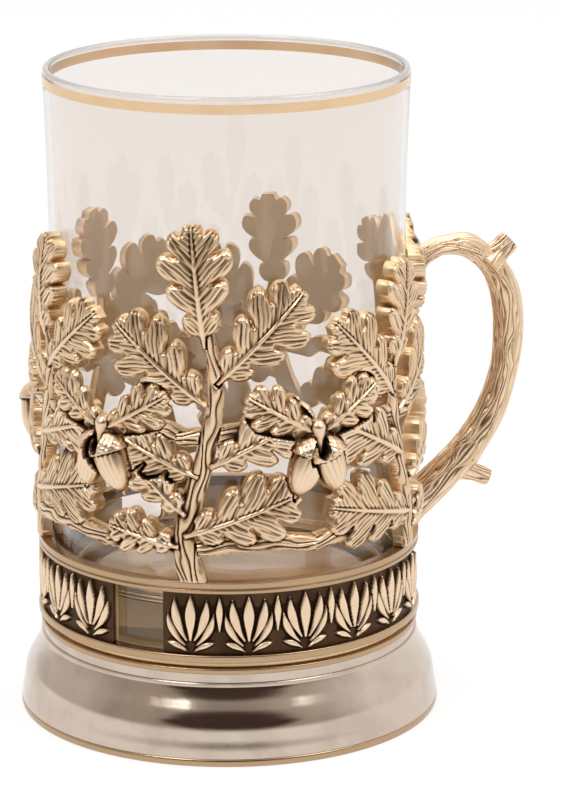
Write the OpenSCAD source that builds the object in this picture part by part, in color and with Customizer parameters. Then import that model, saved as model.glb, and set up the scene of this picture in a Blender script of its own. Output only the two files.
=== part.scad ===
// Tea glass holder: a cast cage with an oak relief on a spun foot, with the glass that stands in it.
// The origin is the centre of the foot on the table. +Z is up and +X points along the handle.
// Angles are counted counter-clockwise from the handle, seen from above.

/* [Glass] */
// Outer radius of the tumbler where the cage holds it
tumbler_r = 33.3; // [30:0.1:38]
// Height of the tumbler
tumbler_h = 104.4; // [92:0.2:120]
// How far the rim flares out beyond the body
rim_flare = 0.7; // [0.3:0.1:1.4]
// Thickness of the glass wall
glass_wall = 1.2; // [0.9:0.1:1.8]
// Thickness of the glass base at its centre
glass_base = 8.6; // [6:0.2:12]
// Rounding of the heel
heel_round = 2.6; // [1.5:0.1:3.5]
// Rounding of the inner corner
floor_round = 5; // [3:0.5:8]
// Width of the ring that the glass stands on
heel_ring_w = 4; // [2:0.5:7]
// Depth of the hollow under the base
punt_depth = 0.8; // [0.4:0.1:1.5]
// Height of the gilt band
band_h = 1.75; // [1:0.05:3]
// Thickness of the gilt band
band_t = 0.12; // [0.1:0.02:0.3]
// Distance from the rim down to the gilt band
band_drop = 1.3; // [1.1:0.1:3]

/* [Foot] */
// How far the foot spreads beyond its neck
foot_spread = 4.4; // [3:0.1:8]
// Height of the brass rim under the foot
foot_rim_h = 1.6; // [1.2:0.1:3]
// Width of the brass rim, seen from below
foot_rim_w = 2.8; // [2:0.1:4]
// How far the brass rim stands out past the shell
foot_rim_proud = 0.1; // [0:0.05:0.3]
// Rounding of the brass rim's edges
foot_rim_round = 0.5; // [0.3:0.1:0.6]
// Height of the spun shell above the rim
shell_h = 14.95; // [11:0.05:20]
// Thickness of the spun shell
shell_wall = 1.1; // [0.8:0.1:1.5]
// Height of the straight neck on top of the shell
neck_h = 1.7; // [1:0.1:3]
// Height of the small bead under the neck
neck_bead_h = 0.5; // [0.3:0.1:1]
// How far the neck stands out past the inside of the cage
neck_out = 1.7; // [1.3:0.1:2.2]

/* [Band] */
// Gap between the glass and the cage
glass_gap = 0.6; // [0.4:0.05:1]
// Height of the collar ring
collar_h = 1.1; // [0.8:0.1:2]
// How far the collar ring stands out past the inside of the cage
collar_out = 2.1; // [1.8:0.1:2.6]
// Thickness of the floor disc that carries the glass
floor_t = 1.15; // [0.8:0.05:2]
// How far the floor disc reaches under the wall of the cage
floor_lap = 1.3; // [0.9:0.1:1.6]
// Height of the lower rail
lower_rail_h = 1.5; // [1:0.1:2.5]
// Radial width of the lower rail
lower_rail_w = 2.5; // [2.2:0.1:3]
// Height of the upper rail
upper_rail_h = 2.1; // [1.7:0.1:3]
// Radial width of the upper rail
upper_rail_w = 2.3; // [2.1:0.1:3]
// Width and depth of the line turned into the upper rail
rail_line = 0.3; // [0.2:0.05:0.4]
// Edge break on rails and collar
edge_break = 0.2; // [0.1:0.05:0.3]
// Height of the frieze between the rails
frieze_h = 11.8; // [9:0.2:15]
// Thickness of the frieze's ground
ground_t = 1.5; // [1.2:0.1:1.8]
// How far the frieze's ornament stands out of the ground
ornament_out = 0.9; // [0.5:0.1:1.2]
// Plain margin above and below the ornament
ornament_margin = 0.65; // [0.5:0.05:1.5]
// Angle that one window between two frieze panels takes
window_angle = 17; // [12:1:24]
// Direction of the first window
window_turn = -138.5; // [-150:0.5:-130]

/* [Relief] */
// Thickness of the branches of the relief
stem_t = 2.1; // [1.8:0.1:2.4]
// How far a leaf's crown stands out of the inside of the cage
leaf_crown = 3.9; // [3.4:0.1:4.6]
// Length of a full leaf
leaf_len = 25; // [22:0.5:27]
// Width of a full leaf
leaf_w = 15; // [12:0.5:17]
// Radius of the dome that shapes a leaf's face
leaf_dome_r = 46; // [38:1:60]
// Width of a main branch at its foot
branch_w = 4.6; // [3.5:0.1:6]
// Width of a twig that ties two castings
tie_w = 3; // [2.2:0.1:4]
// Height of the lower ties above the rail
tie_low = 6; // [4:0.5:9]
// Height of the upper ties above the rail
tie_high = 27; // [22:0.5:32]
// Height of the front spray above the rail
front_h = 66; // [56:1:72]
// Height of the right spray above the rail
right_h = 53; // [46:1:60]
// Height of the left spray above the rail
left_h = 59; // [50:1:66]
// Height of the two back sprays above the rail
back_h = 55; // [46:1:62]

/* [Acorns] */
// Length of an acorn out of its cup
nut_len = 8.6; // [6:0.2:11]
// Radius of an acorn
nut_r = 3.3; // [2.6:0.1:4]
// How much the cup is wider than the acorn
cup_lip = 0.6; // [0.4:0.1:1]
// Depth of the cup
cup_h = 4; // [3:0.2:6]
// Angle between the two acorns of a pair
acorn_spread = 42; // [36:2:60]
// Clearance round a casting that is laid on others
seat_gap = 0.3; // [0.15:0.05:0.4]
// How deep a casting that is laid on others is let into them
seat_depth = 0.25; // [0.1:0.05:0.5]

/* [Handle] */
// How far the handle's seats stand out of the inside of the cage
seat_out = 4.1; // [3.9:0.1:5]
// Reach of the handle's centre line beyond its seats
handle_reach = 20; // [16:0.5:26]
// Height of the lower end of the handle's centre line above the rail
handle_foot = 0.4; // [0:0.1:3]
// Rise of the handle's centre line
handle_rise = 50.8; // [45:0.2:55]
// Thickness of the branch at its lower end
handle_t = 6; // [5:0.1:7.5]
// Depth of the bark's waves as a part of the thickness
bark_share = 0.06; // [0:0.01:0.1]
// Thickness of the two cut side stubs
stub_t = 4.4; // [3:0.1:5]
// Height of the trunk above the rail
trunk_h = 58; // [55:1:64]
// Angle that the trunk's casting takes
trunk_angle = 40; // [34:1:44]
// How far the trunk's bark ribs stand out of its face
rib_out = 0.6; // [0.3:0.1:1]
// Width of a bark rib
rib_w = 1.5; // [1:0.1:2]

/* [Hidden] */
$fn = 96;
// Sides of the handle's stubs
hull_fn = 16;
// How far a cutting shape runs past what it cuts
overrun = 1;
// Angle from one frieze panel to the next
panel_step = 120;
// Lean and size of the two small leaves of a cluster
cluster_lean = 58;
cluster_leaf_share = 0.62;
// Where the glass starts to flare, as a share of its height
flare_start_share = 0.62;
// Radius of the handle's lower seat, as a share of its thickness
lower_seat_share = 0.85;
// How much a bark rib of the trunk sways, as a share of half the casting
rib_sway_share = 0.05;
// Step between the points round the handle, and the turn of its bark from one section to the next
section_step = 24;
bark_turn = 11;
spray_names = ["right", "front", "left", "back_left", "back_right"];

// Radii that follow the glass
cage_r = tumbler_r + glass_gap;
rim_r = tumbler_r + rim_flare;
neck_r = cage_r + neck_out;
foot_r = neck_r + foot_spread;
stem_r = cage_r + stem_t;
seat_r = stem_r - seat_depth;
crown_r = cage_r + leaf_crown;
seat_x = cage_r + seat_out;
ornament_r = cage_r + ground_t + ornament_out;
core_r = cage_r / 2;
far_r = foot_r * 2;
far_h = far_r * 2;

// Heights from the table up
shell_top = foot_rim_h + shell_h;
floor_z = shell_top + collar_h;
seat_z = floor_z + floor_t;
frieze_z = seat_z + lower_rail_h;
upper_rail_z = frieze_z + frieze_h;
rail_top = upper_rail_z + upper_rail_h;
rim_z = seat_z + tumbler_h;

// The foot's outline: how far out and how high, as shares of its spread and its height
foot_flare_shares = [
    [1, 0], [0.955, 0.12], [0.88, 0.26], [0.83, 0.4], [0.76, 0.5], [0.66, 0.58],
    [0.54, 0.66], [0.4, 0.74], [0.26, 0.82], [0.14, 0.9], [0.06, 0.96], [0.04, 1]
];

// One half of an oak leaf: along its length and out from its rib, as shares of length and half width
leaf_edge_shares = [
    [0, 0.09], [0.1, 0.12], [0.13, 0.36], [0.21, 0.5], [0.29, 0.44], [0.3, 0.27],
    [0.36, 0.56], [0.45, 0.8], [0.54, 0.74], [0.53, 0.38], [0.59, 0.78], [0.68, 1],
    [0.78, 0.88], [0.75, 0.44], [0.82, 0.66], [0.9, 0.68], [0.95, 0.5], [0.93, 0.3],
    [0.99, 0.22]
];

// The same edge without the notches between the lobes
leaf_hull_shares = [for (i = [0, 2, 3, 7, 11, 12, 15, 16, 18]) leaf_edge_shares[i]];

// One palmette of the frieze: foot, tip, bow and half width of each petal, as shares of its box
petal_shares = [
    [0, 0.2, 0, 1, 0, 0.1],
    [0.07, 0.2, 0.28, 0.94, -0.16, 0.084],
    [0.1, 0.11, 0.4, 0.68, -0.2, 0.07],
    [0.07, 0, 0.41, 0.15, 0.14, 0.056],
    [0.5, 0.36, 0.5, 1, 0, 0.066]
];

// Half width of a petal from its foot to its tip, as shares of its full half width
petal_width_shares = [0.25, 0.53, 0.86, 0.97, 0.64, 0.1];

// Branches of each kind of spray: places across and up, and width, as shares
branch_shares = [
    [[-0.15, 0, 1.2], [-0.22, 0.14, 0.95], [-0.04, 0.34, 0.8], [0.08, 0.54, 0.65], [0, 0.72, 0.4]],
    [[0.36, 0, 1.2], [0.32, 0.16, 0.95], [0.1, 0.38, 0.8], [-0.02, 0.58, 0.65], [0, 0.74, 0.4]],
    [[-0.42, 0, 1.2], [-0.34, 0.16, 0.95], [-0.04, 0.38, 0.8], [0.12, 0.6, 0.65], [0.06, 0.74, 0.4]]
];

// Leaves of each kind of spray: place across and up, lean in degrees and size
leaf_shares = [
    [
        [-0.02, 0.66, -6, 0.92], [0.08, 0.56, 44, 0.95], [0, 0.5, -50, 0.93], [0.02, 0.33, 62, 0.86],
        [-0.2, 0.19, -44, 0.62], [-0.08, 0.3, -66, 0.76], [-0.22, 0.13, 70, 0.92], [-0.26, 0.1, -78, 0.58]
    ],
    [
        [-0.02, 0.68, 12, 0.82], [0, 0.58, -44, 0.92], [0.06, 0.52, 54, 0.85], [0.12, 0.36, -62, 0.95],
        [0.28, 0.26, 62, 0.6], [0.32, 0.13, -76, 0.98], [0.38, 0.07, 72, 0.48]
    ],
    [
        [0.06, 0.69, 4, 0.8], [0.12, 0.6, 50, 0.82], [0.08, 0.52, -42, 0.95], [0.02, 0.38, 72, 0.78],
        [-0.18, 0.29, -62, 0.7], [-0.28, 0.17, 75, 0.98], [-0.38, 0.08, -72, 0.46]
    ]
];

// Each spray's kind, in the order of spray_names
spray_kinds = [1, 0, 2, 1, 2];
spray_heights = [right_h, front_h, left_h, back_h, back_h];

// The trunk: height and half width, as shares of its height and half its casting
trunk_edge_shares = [
    [0, 0.94], [0.06, 0.66], [0.16, 0.5], [0.32, 0.42], [0.5, 0.4], [0.66, 0.44],
    [0.8, 0.56], [0.88, 0.5], [0.95, 0.32], [1, 0.12]
];

// Leaves of the trunk: place across and up, lean in degrees and size
trunk_leaf_shares = [
    [-0.12, 0.64, -30, 0.74], [0.14, 0.68, 27, 0.74], [-0.2, 0.3, -52, 0.62], [0.2, 0.36, 50, 0.62]
];

// Bark ribs of the trunk: place across, foot and top, as shares
rib_shares = [
    [-0.3, 0.05, 0.8], [-0.12, 0.28, 0.96], [0.05, 0.22, 0.72], [0.16, 0.4, 0.97], [0.3, 0.04, 0.84]
];

// The handle's centre line: out, up and thickness, as shares of reach, rise and thickness
handle_shares = [
    [0, 0, 1.12], [0.3, 0.1, 1.1], [0.58, 0.207, 1.05], [0.8, 0.335, 0.98], [0.94, 0.488, 0.92],
    [1, 0.644, 0.99], [0.965, 0.789, 0.96], [0.82, 0.906, 0.84], [0.58, 0.981, 0.67], [0.32, 1, 0.63],
    [0.12, 0.976, 0.65], [0, 0.939, 0.72]
];

// The handle's side stubs: root and tip, out and up, as shares of reach and rise, and size
stub_shares = [[[0.76, 0.917], [0.99, 0.998], 1], [[0.46, 0.125], [0.79, 0.071], 0.8]];

// Width of a stub from its root to its cut end, as shares of its thickness
stub_width_shares = [0.85, 0.92, 1, 1.02, 0.94];

// Colours
brass = [0.85, 0.71, 0.52];
dark_brass = [0.62, 0.5, 0.35];
nickel = [0.72, 0.68, 0.64];
gold = [0.88, 0.72, 0.42];
clear_glass = [0.86, 0.92, 0.9, 0.4];

// Points on an arc about c, from angle a to angle b
function arc(c, r, a, b, steps = 6) =
    [for (i = [0:steps]) c + r * [cos(a + (b - a) * i / steps), sin(a + (b - a) * i / steps)]];

// A point of a smooth curve through p, between its points i and i + 1
function between(p, i, t) =
    let (
        a = p[max(i - 1, 0)],
        b = p[i],
        c = p[min(i + 1, len(p) - 1)],
        d = p[min(i + 2, len(p) - 1)]
    )
    0.5 * (2 * b + (c - a) * t + (2 * a - 5 * b + 4 * c - d) * t * t + (3 * b - a - 3 * c + d) * t * t * t);

// A smooth curve through all the points p
function smooth(p, steps) =
    concat([for (i = [0:len(p) - 2], s = [0:steps - 1]) between(p, i, s / steps)], [p[len(p) - 1]]);

// Unit vector to the left of the curve p at its point i
function left_of(p, i) =
    let (
        a = p[max(i - 1, 0)],
        b = p[min(i + 1, len(p) - 1)],
        d = [b.x - a.x, b.y - a.y]
    )
    [-d.y, d.x] / norm(d);

// Outline of a stroke along p, whose points hold x, y and half width
function stroke(p) =
    concat(
        [for (i = [0:len(p) - 1]) [p[i].x, p[i].y] + left_of(p, i) * p[i].z],
        [for (i = [len(p) - 1:-1:0]) [p[i].x, p[i].y] - left_of(p, i) * p[i].z]
    );

// The same outline wrapped round the cage: x is measured along the wall and drawn as seen from in front
function wrapped(outline, r) = [for (p = outline) [r * sin(p.x / r * 180 / PI), p.y]];

// Length along the wall of half a sector
function half_arc(angle) = stem_r * PI * angle / 360;

// Draws an outline on the wall at its own direction, from inside the cage out to radius r
module on_wall(r, turn = 0) {
    rotate([0, 0, turn])
        rotate([90, 0, 90])
            linear_extrude(height = r)
                children();
}

// A plain ring by its inner radius, width, foot and height, with its seam behind
module ring(r, w, z, h) {
    rotate([0, 0, 180])
        rotate_extrude()
            translate([r, z])
                square([w, h]);
}

// A turned ring whose outer edges are broken
module turned_ring(r, w, z, h) {
    rotate_extrude()
        polygon([
            [r, z], [r + w - edge_break, z], [r + w, z + edge_break],
            [r + w, z + h - edge_break], [r + w - edge_break, z + h], [r, z + h]
        ]);
}

// The space of one sector from a height up
module sector(angle, z = rail_top) {
    translate([0, 0, z])
        linear_extrude(height = far_h)
            polygon([
                [0, 0], far_r * [cos(angle / 2), -sin(angle / 2)],
                [far_r * 2, 0], far_r * [cos(angle / 2), sin(angle / 2)]
            ]);
}

// A round space about the axis, with its seam behind
module round_space(r) {
    rotate([0, 0, 180])
        cylinder(r = r, h = far_h);
}

// A ball that shapes a leaf's face, with its crown at the origin and its seam behind
module dome() {
    translate([-leaf_dome_r, 0, 0])
        rotate([0, 0, 180])
            sphere(r = leaf_dome_r);
}

module foot_rim() {
    color(brass)
        rotate_extrude()
            polygon(concat(
                [[foot_r - foot_rim_w, 0]],
                arc([foot_r - foot_rim_round, foot_rim_round], foot_rim_round, -90, 0),
                arc([foot_r - foot_rim_round, foot_rim_h - foot_rim_round], foot_rim_round, 0, 90),
                [[foot_r - foot_rim_w, foot_rim_h]]
            ));
}

module foot_shell() {
    base_r = foot_r - foot_rim_proud;
    spread = base_r - neck_r;
    flare_h = shell_h - neck_h - neck_bead_h;
    bead_z = foot_rim_h + flare_h;
    flare = [for (s = foot_flare_shares) [neck_r + spread * s.x, foot_rim_h + flare_h * s.y]];
    flare_top = flare[len(flare) - 1].x;
    bead = arc([flare_top, bead_z + neck_bead_h / 2], neck_bead_h / 2, -90, 90, 4);
    outside = concat(flare, bead, [[neck_r, bead_z + neck_bead_h], [neck_r, shell_top]]);
    inside = [for (i = [len(outside) - 1:-1:0]) outside[i] - [shell_wall, 0]];
    color(nickel)
        rotate_extrude()
            polygon(concat(outside, inside));
}

module collar_ring() {
    color(brass)
        turned_ring(cage_r, collar_out, shell_top, collar_h);
}

module floor_disc() {
    color(dark_brass)
        translate([0, 0, floor_z])
            cylinder(r = cage_r + floor_lap, h = floor_t);
}

module lower_rail() {
    color(brass)
        turned_ring(cage_r, lower_rail_w, seat_z, lower_rail_h);
}

module upper_rail() {
    line_z = upper_rail_z + upper_rail_h / 3;
    color(brass)
        difference() {
            turned_ring(cage_r, upper_rail_w, upper_rail_z, upper_rail_h);
            ring(cage_r + upper_rail_w - rail_line, rail_line + overrun, line_z, rail_line);
        }
}

// One petal as an outline, from shares of a box w wide and h high
function petal(s, w, h) =
    let (
        foot = [s[0] * w, s[1] * h],
        tip = [s[2] * w, s[3] * h],
        side = [foot.y - tip.y, tip.x - foot.x],
        middle = (foot + tip) / 2 + side * s[4],
        last = len(petal_width_shares) - 1
    )
    stroke([
        for (i = [0:last])
            let (
                t = i / last,
                p = foot * (1 - t) * (1 - t) + middle * 2 * t * (1 - t) + tip * t * t
            )
            [p.x, p.y, s[5] * w * petal_width_shares[i]]
    ]);

// A row of palmettes on a curved plate between the rails, each with room on its right for half a dart
module frieze_panel(index) {
    angle = panel_step - window_angle;
    turn = window_turn + panel_step * (index + 0.5);
    width = (cage_r + ground_t) * PI * angle / 180;
    pitch_guess = frieze_h - ornament_margin;
    count = round(width / pitch_guess);
    pitch = angle / count;
    box_w = width / count;
    box_h = frieze_h - 2 * ornament_margin;
    color(dark_brass)
        rotate([0, 0, turn - angle / 2])
            rotate_extrude(angle = angle)
                translate([cage_r, frieze_z])
                    square([ground_t, frieze_h]);
    color(brass)
        for (i = [0:count - 1])
            intersection() {
                on_wall(ornament_r + overrun, turn + pitch * (i + 0.5 - count / 2))
                    translate([0, frieze_z + ornament_margin])
                        palmette(box_w, box_h, i < count - 1);
                rotate([0, 0, turn + pitch * (i - count / 2)])
                    rotate_extrude(angle = pitch * 1.5)
                        translate([ornament_r - ornament_out - ground_t / 2, frieze_z])
                            square([ornament_out + ground_t / 2, frieze_h]);
            }
}

// The petals of one palmette, with the dart on its right where another follows
module palmette(w, h, dart) {
    last = len(petal_shares) - 1;
    polygon(petal(petal_shares[0], w, h));
    for (i = [1:last - 1]) {
        polygon(petal(petal_shares[i], w, h));
        mirror([1, 0])
            polygon(petal(petal_shares[i], w, h));
    }
    if (dart)
        polygon(petal(petal_shares[last], w, h));
}

module frieze_panel_front() {
    frieze_panel(0);
}

module frieze_panel_side() {
    frieze_panel(1);
}

module frieze_panel_back() {
    frieze_panel(2);
}

// Outline of an oak leaf that grows up from the origin, with a margin all round
function leaf_outline(length, width, shares = leaf_edge_shares, margin = 0) =
    let (
        right = [for (s = shares) [s.y * (width / 2 + margin), s.x * (length + 2 * margin) - margin]],
        last = len(right) - 1
    )
    concat(right, [for (i = [last:-1:0]) [-right[i].x, right[i].y]]);

// Draws children on the wall at a leaf's middle, turned to its lean, in a frame whose x points outward
module at_leaf(u, z, lean, length) {
    along = u + sin(lean) * length / 2;
    up = z + cos(lean) * length / 2;
    rotate([0, 0, along / stem_r * 180 / PI])
        translate([0, 0, up])
            rotate([-lean, 0, 0])
                children();
}

// A leaf whose face is part of a sphere, from its foot u along the wall and z up
module leaf(u, z, lean, size, crown) {
    length = leaf_len * size;
    at_leaf(u, z, lean, length)
        intersection() {
            translate([core_r, 0, -length / 2])
                rotate([90, 0, 90])
                    linear_extrude(height = crown)
                        polygon(leaf_outline(length, leaf_w * size));
            translate([crown, 0, 0])
                dome();
        }
}

// A branch of the relief, flat on its face, along points of place across, height and half width
module branch(points) {
    on_wall(far_r)
        polygon(wrapped(stroke(points), stem_r));
}

// One rear casting: branch, ties and leaves, cut to its sector and to the seats of what is laid on it
module oak_spray(index) {
    angle = spray_angle();
    kind = spray_kinds[index];
    h = spray_heights[index];
    half = half_arc(angle);
    trunk = branch_shares[kind];
    main = smooth([for (s = trunk) [s.x * half, rail_top + s.y * h, s.z * branch_w / 2]], 3);
    color(brass)
        rotate([0, 0, spray_turn(index)])
            difference() {
                intersection() {
                    union() {
                        intersection() {
                            union() {
                                branch(main);
                                ties(trunk[1].x * half, half);
                            }
                            ring(core_r, stem_r - core_r, 0, far_h);
                        }
                        for (s = leaf_shares[kind])
                            leaf(s[0] * half, rail_top + s[1] * h, s[2], s[3], crown_r);
                    }
                    sector(angle);
                }
                round_space(cage_r);
                if (index > 0)
                    seat_pocket(angle / 2);
                if (index < len(spray_names) - 1)
                    seat_pocket(-angle / 2);
            }
}

// Twigs from the branch out to both edges of a casting at the two tie heights
module ties(u, half) {
    for (z = [tie_low, tie_high], side = [-1, 1])
        branch([
            [u, rail_top + z, tie_w / 2],
            [side * half / 2, rail_top + z + tie_w / 2, tie_w / 2],
            [side * (half + overrun), rail_top + z, tie_w / 2]
        ]);
}

// Sectors: the trunk's casting is centred on the handle and the sprays share the rest
function spray_angle() = (360 - trunk_angle) / len(spray_names);
function spray_turn(index) = -trunk_angle / 2 - spray_angle() * (index + 0.5);
function seam_turn(index) = spray_turn(index) - spray_angle() / 2;

// Side view of an acorn in its cup, hanging down from the origin, half of it as an outline
function acorn_outline(margin = 0) =
    let (r = nut_r + margin, cup = nut_r + cup_lip + margin, tip = cup_h + nut_len + margin)
    concat(
        [[0, margin]],
        [for (a = [15:15:90]) [cup * sin(a), margin - (cup_h + margin) * (1 - cos(a))]],
        [[r, -cup_h - margin]],
        [for (a = [15:15:75]) [r * cos(a), -cup_h - (nut_len - nut_r / 3 + margin) * sin(a)]],
        [[0, -tip]]
    );

// What an overlaid casting covers of the wall: two leaves without notches, two acorns and their stalk
module cluster_plan(margin) {
    for (side = [-1, 1]) {
        rotate([0, 0, -side * cluster_lean])
            polygon(leaf_outline(
                leaf_len * cluster_leaf_share, leaf_w * cluster_leaf_share, leaf_hull_shares, margin
            ));
        rotate([0, 0, side * acorn_spread / 2]) {
            polygon(acorn_outline(margin));
            mirror([1, 0])
                polygon(acorn_outline(margin));
        }
    }
    translate([0, -tie_w / 2])
        square([tie_w + 2 * margin, tie_w * 2 + 2 * margin], center = true);
}

// The pocket that an overlaid casting needs in the castings behind it
module seat_pocket(turn) {
    rotate([0, 0, turn])
        difference() {
            on_wall(far_r)
                translate([0, rail_top + tie_high])
                    cluster_plan(seat_gap);
            round_space(seat_r);
        }
}

// A casting laid over a seam: a pair of acorns under two small leaves
module acorn_cluster(index) {
    length = leaf_len * cluster_leaf_share;
    color(brass)
        rotate([0, 0, seam_turn(index)])
            difference() {
                translate([0, 0, rail_top + tie_high]) {
                    for (side = [-1, 1]) {
                        rotate([-side * cluster_lean, 0, 0])
                            intersection() {
                                translate([core_r, 0, 0])
                                    rotate([90, 0, 90])
                                        linear_extrude(height = crown_r)
                                            polygon(leaf_outline(length, leaf_w * cluster_leaf_share));
                                translate([crown_r, 0, length / 2])
                                    dome();
                            }
                        translate([stem_r + cup_lip, 0, 0])
                            rotate([side * acorn_spread / 2, 0, 0])
                                rotate_extrude()
                                    polygon(acorn_outline());
                    }
                    translate([core_r, -tie_w / 2, -tie_w * 1.5])
                        cube([crown_r - core_r - seat_gap, tie_w, tie_w * 2]);
                }
                round_space(seat_r);
            }
}

module oak_spray_right() {
    oak_spray(0);
}

module oak_spray_front() {
    oak_spray(1);
}

module oak_spray_left() {
    oak_spray(2);
}

module oak_spray_back_left() {
    oak_spray(3);
}

module oak_spray_back_right() {
    oak_spray(4);
}

module acorn_cluster_right() {
    acorn_cluster(0);
}

module acorn_cluster_left() {
    acorn_cluster(1);
}

module acorn_cluster_back_left() {
    acorn_cluster(2);
}

module acorn_cluster_back() {
    acorn_cluster(3);
}

// The casting on the handle's side: a trunk with bark ribs and leaves, its ties and the handle's two seats
module trunk_panel() {
    half = half_arc(trunk_angle);
    edge = smooth([for (s = trunk_edge_shares) [s.y * half, rail_top + s.x * trunk_h]], 2);
    outline = concat(edge, [for (i = [len(edge) - 1:-1:0]) [-edge[i].x, edge[i].y]]);
    upper_seat = rail_top + handle_foot + handle_rise * handle_shares[len(handle_shares) - 1].y;
    color(brass)
        difference() {
            intersection() {
                union() {
                    intersection() {
                        union() {
                            on_wall(far_r)
                                polygon(wrapped(outline, stem_r));
                            ties(0, half);
                        }
                        ring(core_r, stem_r + rib_out - core_r, 0, far_h);
                    }
                    intersection() {
                        for (s = rib_shares)
                            branch(bark_rib(s, half));
                        ring(core_r, stem_r + 2 * rib_out - core_r, 0, far_h);
                    }
                    for (s = trunk_leaf_shares)
                        leaf(s[0] * half, rail_top + s[1] * trunk_h, s[2], s[3], crown_r);
                    handle_seat(rail_top + handle_foot, handle_t * lower_seat_share);
                    handle_seat(upper_seat, handle_t);
                }
                sector(trunk_angle, frieze_z);
            }
            round_space(cage_r);
            below_rail(ornament_r + seat_gap);
        }
}

// The space of the band, which the lower seat of the handle hangs over
module below_rail(r) {
    rotate([0, 0, 180])
        cylinder(r = r, h = rail_top);
}

// A wavy rib of bark up the trunk
function bark_rib(s, half) =
    [
        for (i = [0:8])
            let (t = i / 8)
            [
                half * (s[0] + rib_sway_share * sin(360 * (t - s[0]))),
                rail_top + trunk_h * (s[1] + (s[2] - s[1]) * t),
                rib_w / 2 * (1 + 2 * sin(180 * t)) / 3
            ]
    ];

// A round boss with a flat face that the handle ends on
module handle_seat(z, r) {
    translate([core_r, 0, z])
        rotate([0, 90, 0])
            cylinder(r = r, h = seat_x - core_r);
}

// Points round one section of the handle: p holds out, up and half thickness, d is the way it runs
function branch_section(p, d, turn) =
    [
        for (a = [0:section_step:360 - section_step])
            let (r = p.z * (1 + bark_share * (cos(3 * a + turn) + 0.5 * cos(5 * a - 2 * turn))))
            [p.x - d.y * r * cos(a), r * sin(a), p.y + d.x * r * cos(a)]
    ];

// The same section slid along the branch onto the flat seat
function onto_seat(section, d) = [for (q = section) q + [1, 0, d.y / d.x] * (seat_x - q.x)];

module handle() {
    line = smooth([
        for (s = handle_shares)
            [seat_x + s.x * handle_reach, rail_top + handle_foot + s.y * handle_rise, s.z * handle_t / 2]
    ], 4);
    last = len(line) - 1;
    ways = [for (i = [0:last]) let (n = left_of(line, i)) [n.y, -n.x]];
    raw = [for (i = [0:last]) branch_section(line[i], ways[i], i * bark_turn)];
    clear = [for (i = [1:last - 1]) if (min([for (q = raw[i]) q.x]) > seat_x + edge_break) raw[i]];
    rings = concat([onto_seat(raw[0], ways[0])], clear, [onto_seat(raw[last], ways[last])]);
    sides = len(rings[0]);
    end = len(rings) - 1;
    points = [for (r = rings, q = r) q];
    faces = concat(
        [[for (j = [sides - 1:-1:0]) j]],
        [
            for (i = [0:end - 1], j = [0:sides - 1])
                let (a = i * sides, k = (j + 1) % sides)
                [a + j, a + k, a + sides + j]
        ],
        [
            for (i = [1:end], j = [0:sides - 1])
                let (a = i * sides, k = (j + 1) % sides)
                [a + j, a - sides + k, a + k]
        ],
        [[for (j = [0:sides - 1]) end * sides + j]]
    );
    color(brass) {
        polyhedron(points, faces);
        for (s = stub_shares)
            stub(s[0], s[1], stub_t / 2 * s[2]);
    }
}

// A cut side twig from root to tip, in four lengths that narrow and then swell at the cut
module stub(root, tip, r) {
    steps = len(stub_width_shares) - 1;
    run = [(tip.x - root.x) * handle_reach, (tip.y - root.y) * handle_rise];
    slope = atan2(run.x, run.y);
    translate([seat_x + root.x * handle_reach, 0, rail_top + handle_foot + root.y * handle_rise])
        rotate([0, slope, 0])
            for (i = [0:steps - 1])
                hull() {
                    translate([0, 0, norm(run) * i / steps])
                        cylinder(r = r * stub_width_shares[i], h = edge_break, $fn = hull_fn);
                    translate([0, 0, norm(run) * (i + 1) / steps - edge_break])
                        cylinder(r = r * stub_width_shares[i + 1], h = edge_break, $fn = hull_fn);
                }
}

// How far the glass has flared out at a share t of the way from the body to the band
function flare_at(t) = rim_flare * t * t;

module tumbler() {
    lip_r = glass_wall / 2;
    lip_z = rim_z - lip_r;
    band_z = rim_z - band_drop - band_h;
    flare_z = seat_z + tumbler_h * flare_start_share;
    steps = 4;
    wall = [
        for (i = [0:steps])
            [tumbler_r + flare_at(i / steps), flare_z + (band_z - glass_wall - flare_z) * i / steps]
    ];
    last = len(wall) - 1;
    inner_r = tumbler_r - glass_wall;
    heel_in = tumbler_r - heel_round - heel_ring_w;
    color(clear_glass)
        rotate_extrude()
            polygon(concat(
                [[0, seat_z + punt_depth], [heel_in - punt_depth, seat_z + punt_depth], [heel_in, seat_z]],
                arc([tumbler_r - heel_round, seat_z + heel_round], heel_round, -90, 0),
                wall,
                arc([rim_r - lip_r, lip_z], lip_r, 0, 180),
                [for (i = [last:-1:0]) wall[i] - [glass_wall, 0]],
                arc([inner_r - floor_round, seat_z + glass_base + floor_round], floor_round, 0, -90),
                [[0, seat_z + glass_base]]
            ));
}

module gilt_band() {
    color(gold)
        ring(rim_r, band_t, rim_z - band_drop - band_h, band_h);
}

foot_rim();
foot_shell();
collar_ring();
floor_disc();
lower_rail();
frieze_panel_front();
frieze_panel_back();
frieze_panel_side();
upper_rail();
oak_spray_right();
oak_spray_front();
oak_spray_left();
oak_spray_back_left();
oak_spray_back_right();
acorn_cluster_right();
acorn_cluster_left();
acorn_cluster_back_left();
acorn_cluster_back();
trunk_panel();
handle();
tumbler();
gilt_band();
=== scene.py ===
# %% [markdown]
# # A tea glass in its cast metal holder
#
# The object is a thin tea glass that stands loose in a metal holder. The holder is built from a
# spun nickel foot, turned brass rings, curved castings soldered side by side into a cage, and a
# branch-shaped handle. A model of the bare construction is loaded first and is never moved
# or resized. Each step then replaces one plain solid by a finer mesh in the same place.

# %% Load the construction
import math

import bmesh
import bpy
import numpy as np
from mathutils import Matrix, Vector


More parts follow.
